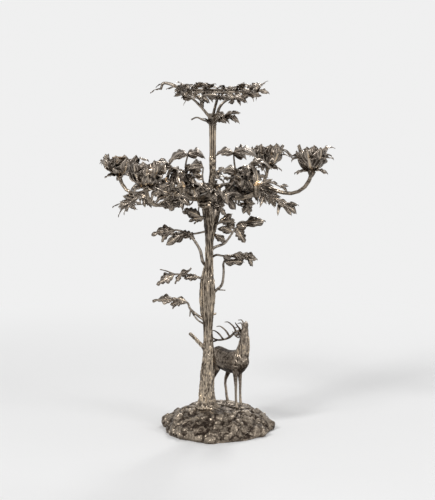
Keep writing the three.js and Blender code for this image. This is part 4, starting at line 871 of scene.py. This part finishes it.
def hide_rule(place, normal):
    """The stag's muscles and short fur that lies back and down; its underside painted dark as shade, a
    painted highlight on its neck, and brighter legs.
    """
    bulge = 0
    for middle, reach, height in MUSCLES:
        gap = (place - Vector(middle)).length / reach
        if gap < MUSCLE_EDGE:
            bulge += height * math.exp(-gap * gap)
    flow = Vector((place.x / 4 + place.z / 9, place.y / 2.4, place.z / 3.4))
    fur = noise.fractal(flow, 1, 2.1, 3)
    lock = ridged(stretched(place, 5, 3.4, 13))
    ruff = ease(*RUFF_ABOVE, place.z) * ease(*RUFF_AHEAD, place.x) * ease(*RUFF_BELOW, place.z)
    # painted shade: where the faces point down, under the body, the hide is darkened
    under = ease(0.1, -0.8, normal.z)
    offset = bulge + 0.18 * fur + 1.1 * ruff * (lock - 0.5)
    neck = ease(*NECK_ABOVE, place.z) * ease(*NECK_AHEAD, place.x)
    spine = ease(0.6, 0.92, normal.z) * ease(*BACK_BEHIND, place.x) * ease(*BACK_ABOVE, place.z)
    # painted highlight on the neck; the legs brighter, partly worn brass and partly painted highlight
    bright = 0.12 * neck + 0.24 * ease(*LEGS_BELOW, place.z)
    # the underside is darkened as painted shade, and the back is darker in tone
    level = 0.4 + 0.16 * bulge + 0.4 * fur + 0.6 * ruff * (lock - 0.3) - 0.35 * (under + spine) + bright
    return offset, level


# Leaves

def leaf_mesh(name, lobes, width, fold, curl, wave):
    """A thin closed leaf along x, 1 long, with its place along and across in a UV map."""
    bend = math.radians(curl)
    sheet = bmesh.new()
    rows = []
    spots = {}
    for station in range(LEAF_STATIONS + 1):
        share = station / LEAF_STATIONS
        inside = 0 < station < LEAF_STATIONS
        swell = math.sin(math.pi * share ** SHOULDER) ** FULLNESS if inside else 0
        lobe = (0.5 - 0.5 * math.cos(2 * math.pi * lobes * share)) ** LOBE_ROUND if lobes else 1
        half = STALK_WIDTH * (1 - share) + width * swell * mix(LOBE_DEPTH, 1, lobe)
        turn = bend * share
        up = Vector((math.sin(turn), 0, math.cos(turn)))
        row = []
        for column in range(-LEAF_COLUMNS, LEAF_COLUMNS + 1):
            across = column / LEAF_COLUMNS
            ripple = wave * across * across * math.sin(WAVE_TURNS * share + WAVE_SLANT * across)
            rise = fold * half * (1 - abs(across)) + ripple
            rib = RIB_HEIGHT * (1 - share) if column == 0 else 0
            ahead = math.sin(turn) / bend + LOBE_SWEEP * half * abs(across)
            spot = Vector((ahead, across * half, rise - (1 - math.cos(turn)) / bend))
            thick = 0 if abs(across) == 1 else LEAF_THICKNESS / 2
            row.append(sheet.verts.new(spot + up * (thick + rib)))
            spots[row[-1]] = (share, 0.5 + across / 2)
            if column == 0:
                under = sheet.verts.new(spot - up * thick)
                spots[under] = (share, 0.5)
        rows.append((row, [row[0], under, row[-1]]))
    for (tops, unders), (next_tops, next_unders) in zip(rows, rows[1:]):
        for low, high in zip(range(2 * LEAF_COLUMNS), range(1, 2 * LEAF_COLUMNS + 1)):
            sheet.faces.new((tops[low], next_tops[low], next_tops[high], tops[high]))
        for low, high in ((0, 1), (1, 2)):
            sheet.faces.new((unders[low], unders[high], next_unders[high], next_unders[low]))
    for tops, unders in (rows[0], rows[-1]):
        sheet.faces.new(tops + [unders[1]])
    layer = sheet.loops.layers.uv.new("leaf")
    for face in sheet.faces:
        face.smooth = True
        for loop in face.loops:
            loop[layer].uv = spots[loop.vert]
    return closed_mesh(name, sheet, LEAF_GAP)


def leaf_collection():
    """The leaf shapes, in a collection that isn't part of the scene."""
    shapes = bpy.data.collections.new("leaf_shapes")
    for index, kind in enumerate(sum(LEAF_KINDS.values(), [])):
        name = f"leaf_shape_{index:02d}"
        shapes.objects.link(bpy.data.objects.new(name, leaf_mesh(name, *kind)))
    return shapes


def leaf_index(family, order):
    """The number of the shape that a leaf takes, in turn from its family."""
    families = list(LEAF_KINDS)
    first = sum(len(LEAF_KINDS[name]) for name in families[:families.index(family)])
    return first + order % len(LEAF_KINDS[family])


def leaf_turn(azimuth, elevation, roll):
    """The turn that lays a leaf along a heading, rolled about it."""
    lift = Matrix.Rotation(math.radians(-elevation), 3, "Y")
    return Matrix.Rotation(math.radians(azimuth), 3, "Z") @ lift @ Matrix.Rotation(math.radians(roll), 3, "X")


def twig_leaves(stem, tilt):
    """The leaves of one twig, on alternate sides, with one more at its tip.

    Tilt turns the faces of those that point along x towards the front.
    """
    if not stem["length"]:
        return []
    count = stem["leaves"] * LEAF_CROWD
    grown = []
    for index in range(count + 1):
        tip = index == count
        share = TIP_LEAF if tip else stem["start"] + (1 - stem["start"]) * index / count
        base, way = curve_point(stem["path"], share)
        rise = math.degrees(math.asin(way.z))
        hand = 0 if tip else 1 - 2 * (index % 2)
        azimuth = math.degrees(math.atan2(way.y, way.x)) + hand * stem["spread"]
        grown.append(leaf(
            base, azimuth, rise * 0.5 - stem["droop"] * (TIP_DROOP if tip else 1) + LEAF_RISE,
            stem["length"] * (1 - LENGTH_STEP * (index % 3)),
            hand * LEAF_ROLL + tilt * math.cos(math.radians(azimuth)), stem["kind"], stem["fill"]))
    return grown


def filled(leaves, count, fan_turn):
    """The leaves, with smaller ones fanned round the foot of each: a count, where a leaf gives none."""
    fan = []
    for order, first in enumerate(leaves):
        fan.append(first)
        for step in range(count if first["fill"] is None else first["fill"]):
            hand = 1 if (order + step) % 2 else -1
            turn, rise, roll = LEAF_FAN[step % len(LEAF_FAN)]
            fan.append(dict(
                first, azimuth=first["azimuth"] + hand * fan_turn * turn,
                elevation=first["elevation"] + fan_turn * rise, roll=first["roll"] + hand * roll,
                length=first["length"] * FILL_SIZE ** (1 + step * FILL_STEP)))
    return fan


def growth_mesh(name, growth, place, fill, fan_turn):
    """Twigs as edges with a radius, and leaves as points with a turn, a size and a kind."""
    spots, edges, radii, turns, sizes, kinds = [], [], [], [], [], []

    def add_spot(point, radius=0, turn=(0, 0, 0), size=0, kind=-1):
        spots.append((place @ Vector(point)) * MM)
        radii.append(radius * MM)
        turns.append(tuple(turn))
        sizes.append(size * MM)
        kinds.append(kind)

    leaves = []
    for stem in growth["twigs"]:
        leaves += twig_leaves(stem, growth.get("tilt", 0))
        points = stem["path"]
        span = sum((after - before).length for before, after in zip(points, points[1:]))
        steps = max(4, round(span / TWIG_STEP))
        for step in range(steps + 1):
            point, _ = curve_point(points, step / steps)
            knot = 1 + KNOT_SWELL * noise.noise(point / KNOT_STEP)
            add_spot(point, mix(*stem["radii"], step / steps) * knot)
            if step:
                edges.append((len(spots) - 2, len(spots) - 1))
    leaves += growth.get("leaves", [])
    for order, one in enumerate(filled(leaves, fill, fan_turn)):
        turn = place.to_3x3() @ leaf_turn(one["azimuth"], one["elevation"], one["roll"])
        add_spot(one["base"], turn=turn.to_euler(), size=one["length"], kind=leaf_index(one["kind"], order))
    mesh = bpy.data.meshes.new(name)
    mesh.from_pydata(spots, edges, [])
    layers = (("radius", "FLOAT", "value", radii), ("turn", "FLOAT_VECTOR", "vector", turns),
              ("size", "FLOAT", "value", sizes), ("kind", "INT", "value", kinds))
    for label, kind, key, values in layers:
        layer = mesh.attributes.new(label, kind, "POINT")
        for item, value in zip(layer.data, values):
            setattr(item, key, value)
    return mesh


def foliage_tree():
    """Geometry nodes that put a leaf on each leaf point and bark round each twig."""
    tree, given, out = named_group("leafy_twigs", "GeometryNodeTree", {
        "Geometry": "Geometry", "Leaf shapes": "Collection", "Leaf size": 1.0,
        "Size spread": SIZE_SPREAD, "Turn spread": TURN_SPREAD, "Twig sides": TWIG_SIDES,
        "Bark depth": TWIG_BARK * MM, "Seed": SPREAD_SEED, "Leaf metal": "Material",
        "Twig metal": "Material",
    }, {"Geometry": "Geometry"})

    def stored(label, kind):
        reader = add_node(tree, "GeometryNodeInputNamedAttribute", {"Name": label}, data_type=kind)
        return reader.outputs["Attribute"]

    kind = stored("kind", "INT")
    on_leaf = add_node(
        tree, "FunctionNodeCompare", {2: kind, 3: 0}, data_type="INT", operation="GREATER_EQUAL")
    less = maths(tree, "MULTIPLY", given["Turn spread"], -1)
    jitter = add_node(tree, "FunctionNodeRandomValue", {
        0: less, 1: given["Turn spread"], "Seed": given["Seed"]}, data_type="FLOAT_VECTOR")
    turn = add_node(tree, "ShaderNodeVectorMath", {0: stored("turn", "FLOAT_VECTOR"), 1: jitter})
    turned = add_node(tree, "FunctionNodeEulerToRotation", {0: turn})
    small = maths(tree, "SUBTRACT", 1, given["Size spread"])
    large = maths(tree, "ADD", 1, given["Size spread"])
    vary = add_node(tree, "FunctionNodeRandomValue", {
        2: small, 3: large, "Seed": given["Seed"]}, data_type="FLOAT")
    size = maths(tree, "MULTIPLY", stored("size", "FLOAT"), vary.outputs[1])
    scaled = maths(tree, "MULTIPLY", size, given["Leaf size"])
    shapes = add_node(tree, "GeometryNodeCollectionInfo", {
        "Collection": given["Leaf shapes"], "Separate Children": True, "Reset Children": True})
    leaves = add_node(tree, "GeometryNodeInstanceOnPoints", {
        "Points": given["Geometry"], "Selection": on_leaf, "Instance": shapes, "Pick Instance": True,
        "Instance Index": kind, "Rotation": turned, "Scale": scaled})
    real = add_node(tree, "GeometryNodeRealizeInstances", {0: leaves})
    leafy = add_node(tree, "GeometryNodeSetMaterial", {"Geometry": real, "Material": given["Leaf metal"]})

    lines = add_node(tree, "GeometryNodeMeshToCurve", {"Mesh": given["Geometry"]})
    outline = add_node(tree, "GeometryNodeCurvePrimitiveCircle", {
        "Resolution": given["Twig sides"], "Radius": 1})
    bark = add_node(tree, "GeometryNodeCurveToMesh", {
        "Curve": lines, "Profile Curve": outline, "Scale": stored("radius", "FLOAT"), "Fill Caps": True})
    grain = add_node(tree, "ShaderNodeTexNoise", {"Scale": TWIG_GRAIN, "Detail": 2})
    height = ranged(tree, grain.outputs[0], *NOISE_BAND, -0.5, 0.5, smooth=False)
    rise = maths(tree, "MULTIPLY", height, given["Bark depth"])
    normal = add_node(tree, "GeometryNodeInputNormal")
    shift = add_node(tree, "ShaderNodeVectorMath", {0: normal, "Scale": rise}, operation="SCALE")
    rough = add_node(tree, "GeometryNodeSetPosition", {"Geometry": bark, "Offset": shift})
    level = maths(tree, "ADD", height, TWIG_LEVEL)
    marked = add_node(tree, "GeometryNodeStoreNamedAttribute", {
        "Geometry": rough, "Name": "relief", "Value": level}, data_type="FLOAT", domain="POINT")
    barked = add_node(tree, "GeometryNodeSetMaterial", {"Geometry": marked, "Material": given["Twig metal"]})
    both = add_node(tree, "GeometryNodeJoinGeometry")
    for part in (barked, leafy):
        tree.links.new(part.outputs[0], both.inputs[0])
    smooth = add_node(tree, "GeometryNodeSetShadeSmooth", {0: both, "Shade Smooth": True})
    tree.links.new(smooth.outputs[0], out.inputs["Geometry"])
    return tree


def set_inputs(modifier, values):
    """Sets a geometry tree's inputs, given by their names."""
    for item in modifier.node_group.interface.items_tree:
        if item.in_out == "INPUT" and item.name in values:
            modifier[item.identifier] = values[item.name]


def foliage(name, growth, place, fill=LEAF_FILL, fan_turn=1):
    """A spray of twigs and veined leaves as one plain mesh object."""
    source = new_object(name, growth_mesh(name, growth, place, fill, fan_turn))
    grower = source.modifiers.new("Growth", "NODES")
    grower.node_group = LEAFY_TWIGS
    set_inputs(grower, {"Leaf shapes": LEAF_SHAPES, "Leaf metal": LEAF_METAL, "Twig metal": TWIG_METAL})
    return plain_copy(source, name)


# Other forms

def round_leaves(count, radius, height, elevation, length, phase=0, kind="lobed"):
    """Leaves set evenly round an upright line, pointing away from it."""
    azimuths = [phase + 360 * index / count for index in range(count)]
    return [leaf(round_point(radius, azimuth, height), azimuth, elevation, length, kind=kind)
            for azimuth in azimuths]


def turned_piece(name, profile, place):
    """A turned form, from a profile of radius and height, at a frame."""
    form = bmesh.new()
    relief = form.verts.layers.float.new("relief")
    rings = []
    for radius, height in profile:
        ring = []
        for step in range(TURNED_STEPS):
            way = 2 * math.pi * step / TURNED_STEPS
            point = Vector((radius * math.cos(way), radius * math.sin(way), height))
            spot = form.verts.new((place @ point) * MM)
            spot[relief] = TURNED_LEVEL + TURNED_SWING * noise.noise(spot.co / MM / TURNED_CLOUD)
            ring.append(spot)
        rings.append(ring)
    for low, high in zip(rings, rings[1:]):
        for step in range(TURNED_STEPS):
            after = (step + 1) % TURNED_STEPS
            form.faces.new((low[step], low[after], high[after], high[step]))
    made = new_object(name, closed_mesh(name, form, MERGE_GAP))
    bevel = made.modifiers.new("Rounded", "BEVEL")
    bevel.width = TURNED_EDGE * MM
    bevel.segments = 2
    return plain_copy(made, name)


def ring_growth(start, end, heading=None, radii=None, free=None, shoots=None):
    """A leafy twig round the basket's ring, and a free one that leaves it at a heading."""
    def on_ring(azimuth, height=RING_TWIG_LIFT):
        return round_point(RING_RADIUS, azimuth, height)

    steps = range(RING_TWIG_STEPS + 1)
    twigs = [twig([on_ring(mix(start, end, step / RING_TWIG_STEPS)) for step in steps], RING_TWIG_RADII)]
    if free:
        root = on_ring(heading)
        twigs.append(twig([root] + [root + Vector(step) for step in free], radii, **shoots))
    leaves = []
    count = round(abs(end - start) / RING_LEAF_STEP)
    for index in range(count + 1):
        azimuth = mix(start, end, index / count)
        forward = math.cos(math.radians(azimuth))
        height, elevation, length = RING_LEAVES[index % len(RING_LEAVES)]
        aside = mix(*RING_LEAF_TURN, max(0, -forward)) * (1 if index % 3 else -1)
        leaves.append(
            leaf(on_ring(azimuth, height), azimuth + aside, elevation, length, LEAF_TILT * forward))
    return dict(twigs=twigs, leaves=leaves)


def antler_growth(hand):
    """The beam and the tines of one antler, with hand 1 on the left and -1 on the right."""
    def horn(points, radii):
        return twig([(ANTLER_ROOT[0] + x, HEAD_TURN + hand * (ANTLER_ROOT[1] + y), ANTLER_ROOT[2] + z)
                     for x, y, z in points], radii)

    return dict(twigs=[horn(ANTLER_BEAM, BEAM_RADII)] + [horn(tine, TINE_RADII) for tine in ANTLER_TINES])


# The pieces

def dress(piece, body, nodes, material=None):
    """Gives a piece its finish and its body, and hides the CAD nodes it stands for."""
    if material:
        piece.data.materials.clear()
        piece.data.materials.append(material)
    if nodes:
        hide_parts(*nodes)
    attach(piece, body)


def dress_carved(name, node, fineness, rule, place, body, material):
    """A carved skin over a CAD node, of some fineness, with its finish and its body, and the node hidden."""
    skin = skin_of(name, node, *fineness)
    carve(skin, rule, place)
    dress(skin, body, [node], material)


PATINA = patina_group()
LEAF_SHAPES = leaf_collection()
LEAFY_TWIGS = foliage_tree()
LEAF_METAL = leaf_metal("leaf_aged_plate")
TWIG_METAL = metal("twig_aged_plate", worn=(0.46, 0.36, 0.26, 1), grain=1100, depth=0.08)
BARK_METAL = metal("bark_aged_plate", silver=WARM_SILVER, worn=(0.76, 0.6, 0.42, 1), reach=0.05, grain=1200,
                   depth=0.1, shine=0.15)
LIMB_METAL = metal("arm_aged_plate", silver=(0.4, 0.34, 0.27, 1), worn=(0.5, 0.35, 0.21, 1), grain=1200,
                   shine=0.16)
# The mound's worn crests take a very pale colour: partly worn metal, partly painted glints
ROCK_METAL = metal("mound_aged_plate", silver=WARM_SILVER, worn=(0.78, 0.7, 0.58, 1), cloud=90, grain=330,
                   depth=0.9, shine=0.04, stain=0.16)
HIDE_METAL = metal("stag_aged_plate", silver=(0.38, 0.32, 0.26, 1), grain=1000, depth=0.12, shine=0.26,
                   stain=0.24)
HORN_METAL = metal("antler_aged_plate", silver=(0.3, 0.25, 0.2, 1), reach=0.2, depth=0.1)
CAST_METAL = metal("cast_aged_plate", grain=1300, depth=0.06)
WORN_METAL = metal("socket_worn_plate", silver=(0.4, 0.3, 0.21, 1), grain=1300, depth=0.04)
STEEL_METAL = steel("dull_steel_hardware")


def build_tree():
    """The mound, the stag, the trunk and the crown with their foliage."""
    foot = placed(TRUNK_FOOT)
    crown = placed(CROWN_SEAT)
    stag = placed(STAG_PLACE, STAG_TURN)
    dress_carved("rocky_mound", "base_mound", MOUND_SKIN, rock_rule, placed((0, 0, 0)), "tree",
                 ROCK_METAL)
    dress_carved("scaly_trunk", "trunk", TRUNK_SKIN, bark_rule(*TRUNK_BARK, trunk=True), foot, "tree",
                 BARK_METAL)
    dress_carved("crown_seat_collar", "crown_collar", COLLAR_SKIN, bark_rule(*COLLAR_BARK), crown, "tree",
                 BARK_METAL)
    dress_carved("crown_hub_bark", "crown_hub", HUB_SKIN, bark_rule(*HUB_BARK), crown, "tree",
                 BARK_METAL)
    for side, azimuth in ARM_AZIMUTHS.items():
        node = f"crown_branch_{side}"
        dress_carved(f"bark_of_{node}", node, LIMB_SKIN, limb_rule(BRANCH_BARK), placed(CROWN_SEAT, azimuth),
                     "tree", LIMB_METAL)
    for sprays, place, fill, fan_turn in (
            (TRUNK_SPRAYS, foot, 0, TRUNK_FAN), (CROWN_SPRAYS, crown, LEAF_FILL, 1)):
        for node, growth in sprays.items():
            tilted = dict(growth, tilt=HIGH_TILT if node.endswith("high") else LEAF_TILT)
            leafy = foliage(f"foliage_of_{node}", tilted, place, fill, fan_turn)
            dress(leafy, "tree", [node])
    dress_carved("stag_in_silver", "stag", STAG_SKIN, hide_rule, stag, "tree",
                 HIDE_METAL)
    for side, hand in (("left", 1), ("right", -1)):
        antler = foliage(f"antler_in_silver_{side}", antler_growth(hand), stag)
        dress(antler, "tree", [f"stag_antler_{side}"], HORN_METAL)


def build_arm(side):
    """One candle arm with its spray, drip leaves, leaf cup and socket."""
    body = f"arm_{side}"
    root = arm_frame(side)
    cup = root @ placed(ARM_END[side])
    bark = limb_rule(ARM_BARK, WORN_ROOTS[side])
    dress_carved(f"bark_of_arm_{side}", f"candle_arm_{side}", LIMB_SKIN, bark, root, body,
                 LIMB_METAL)
    spray = foliage(f"foliage_of_arm_{side}", ARM_SPRAYS[side], root)
    dress(spray, body, [f"arm_spray_{side}"])
    drips = dict(twigs=[], leaves=round_leaves(
        DRIP_LEAVES, DRIP_RADIUS, DRIP_HEIGHT, 0, DRIP_LENGTH, kind="flat"))
    drip = foliage(f"drip_foliage_{side}", drips, cup, fill=0)
    dress(drip, body, [f"drip_leaves_{side}"])
    extras = CUP_EXTRAS.get(side, dict(twigs=[], leaves=[]))
    spread = CUP_SPREAD.get(side, 0)
    petals = [petal for kind, radius, height, rise, length, phase in CUP_ROWS
              for petal in round_leaves(CUP_PETALS, radius, height, rise - spread, length, phase, kind)]
    rosette = dict(twigs=extras["twigs"], leaves=petals + extras["leaves"])
    flower = foliage(f"cup_foliage_{side}", rosette, cup, fill=0)
    dress(flower, body, [f"leaf_cup_{side}"])
    socket = turned_piece(f"candle_nozzle_{side}", NOZZLE, cup)
    dress(socket, body, [f"candle_socket_{side}"], WORN_METAL)


def build_basket():
    """The fluted stem, the small cup, the ring and its leafy twigs."""
    seat = placed((TOP_SEAT[0], 0, BASKET_FOOT))
    middle = placed(RING_CENTRE)
    body = "top_basket"
    dress_carved("fluted_upper_stem", "upper_stem", BASKET_SKIN, flute_rule(*STEM_FLUTES), placed(TOP_SEAT),
                 body, BARK_METAL)
    cup = turned_piece("basket_cup_turned", BASKET_CUP, seat)
    dress(cup, body, ["basket_cup"], CAST_METAL)
    dress(foliage("stem_foliage", STEM_SPRAY, seat, fill=2), body, [])
    dress_carved("twig_ring", "basket_ring", BASKET_SKIN, bark_rule(*RING_BARK), middle, body,
                 CAST_METAL)
    for side, growth in BASKET_BRANCHES.items():
        branch = foliage(f"foliage_of_basket_branch_{side}", growth, seat, fill=1)
        dress(branch, body, [f"basket_branch_{side}"])
    for side, growth in RING_SPRAYS.items():
        leafy = foliage(f"ring_foliage_{side}", ring_growth(**growth), middle, fill=0)
        dress(leafy, body, [f"basket_spray_{side}"])


def build_lamps():
    """The soft lamps round the object."""
    lights = []
    for name, place, size, power in LAMPS:
        lamp = bpy.data.lights.new(name, "AREA")
        lamp.size = size
        lamp.energy = power
        light = new_object(name, lamp)
        light.location = place
        light.rotation_euler = (Vector(LAMP_AIM) - light.location).to_track_quat("-Z", "Y").to_euler()
        lights.append(light)
    return lights


def build_stage():
    """The floor, the lights, the surroundings and the camera."""
    bpy.ops.mesh.primitive_plane_add(size=FLOOR_SIZE)
    floor = bpy.context.object
    floor.name = "pale_floor"
    floor.data.materials.append(pale_floor())
    lights = build_lamps()
    world = bpy.data.worlds.new("pale_studio")
    bpy.context.scene.world = world
    world.use_nodes = True
    tree = world.node_tree
    tree.nodes["Background"].inputs["Color"].default_value = PALE
    strength = ranged(tree, seen_directly(tree), 0, 1, ROOM_LIGHT, 1)
    tree.links.new(strength, tree.nodes["Background"].inputs["Strength"])
    camera = new_object("camera", bpy.data.cameras.new("camera"))
    camera.location = Vector(CAMERA_PLACE) * MM
    camera.rotation_euler = Euler((math.radians(CAMERA_TILT), 0, 0))
    camera.data.lens = CAMERA_LENS
    camera.data.sensor_width = CAMERA_FILM
    camera.data.clip_start = CAMERA_CLIP * MM
    bpy.context.scene.camera = camera
    bpy.context.scene.view_settings.view_transform = "Standard"


noise.seed_set(WANDER_SEED)
build_tree()
for side in ARM_AZIMUTHS:
    build_arm(side)
build_basket()
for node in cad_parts.values():
    if not node.hide_render:
        node.data.materials.clear()
        node.data.materials.append(STEEL_METAL)
build_stage()
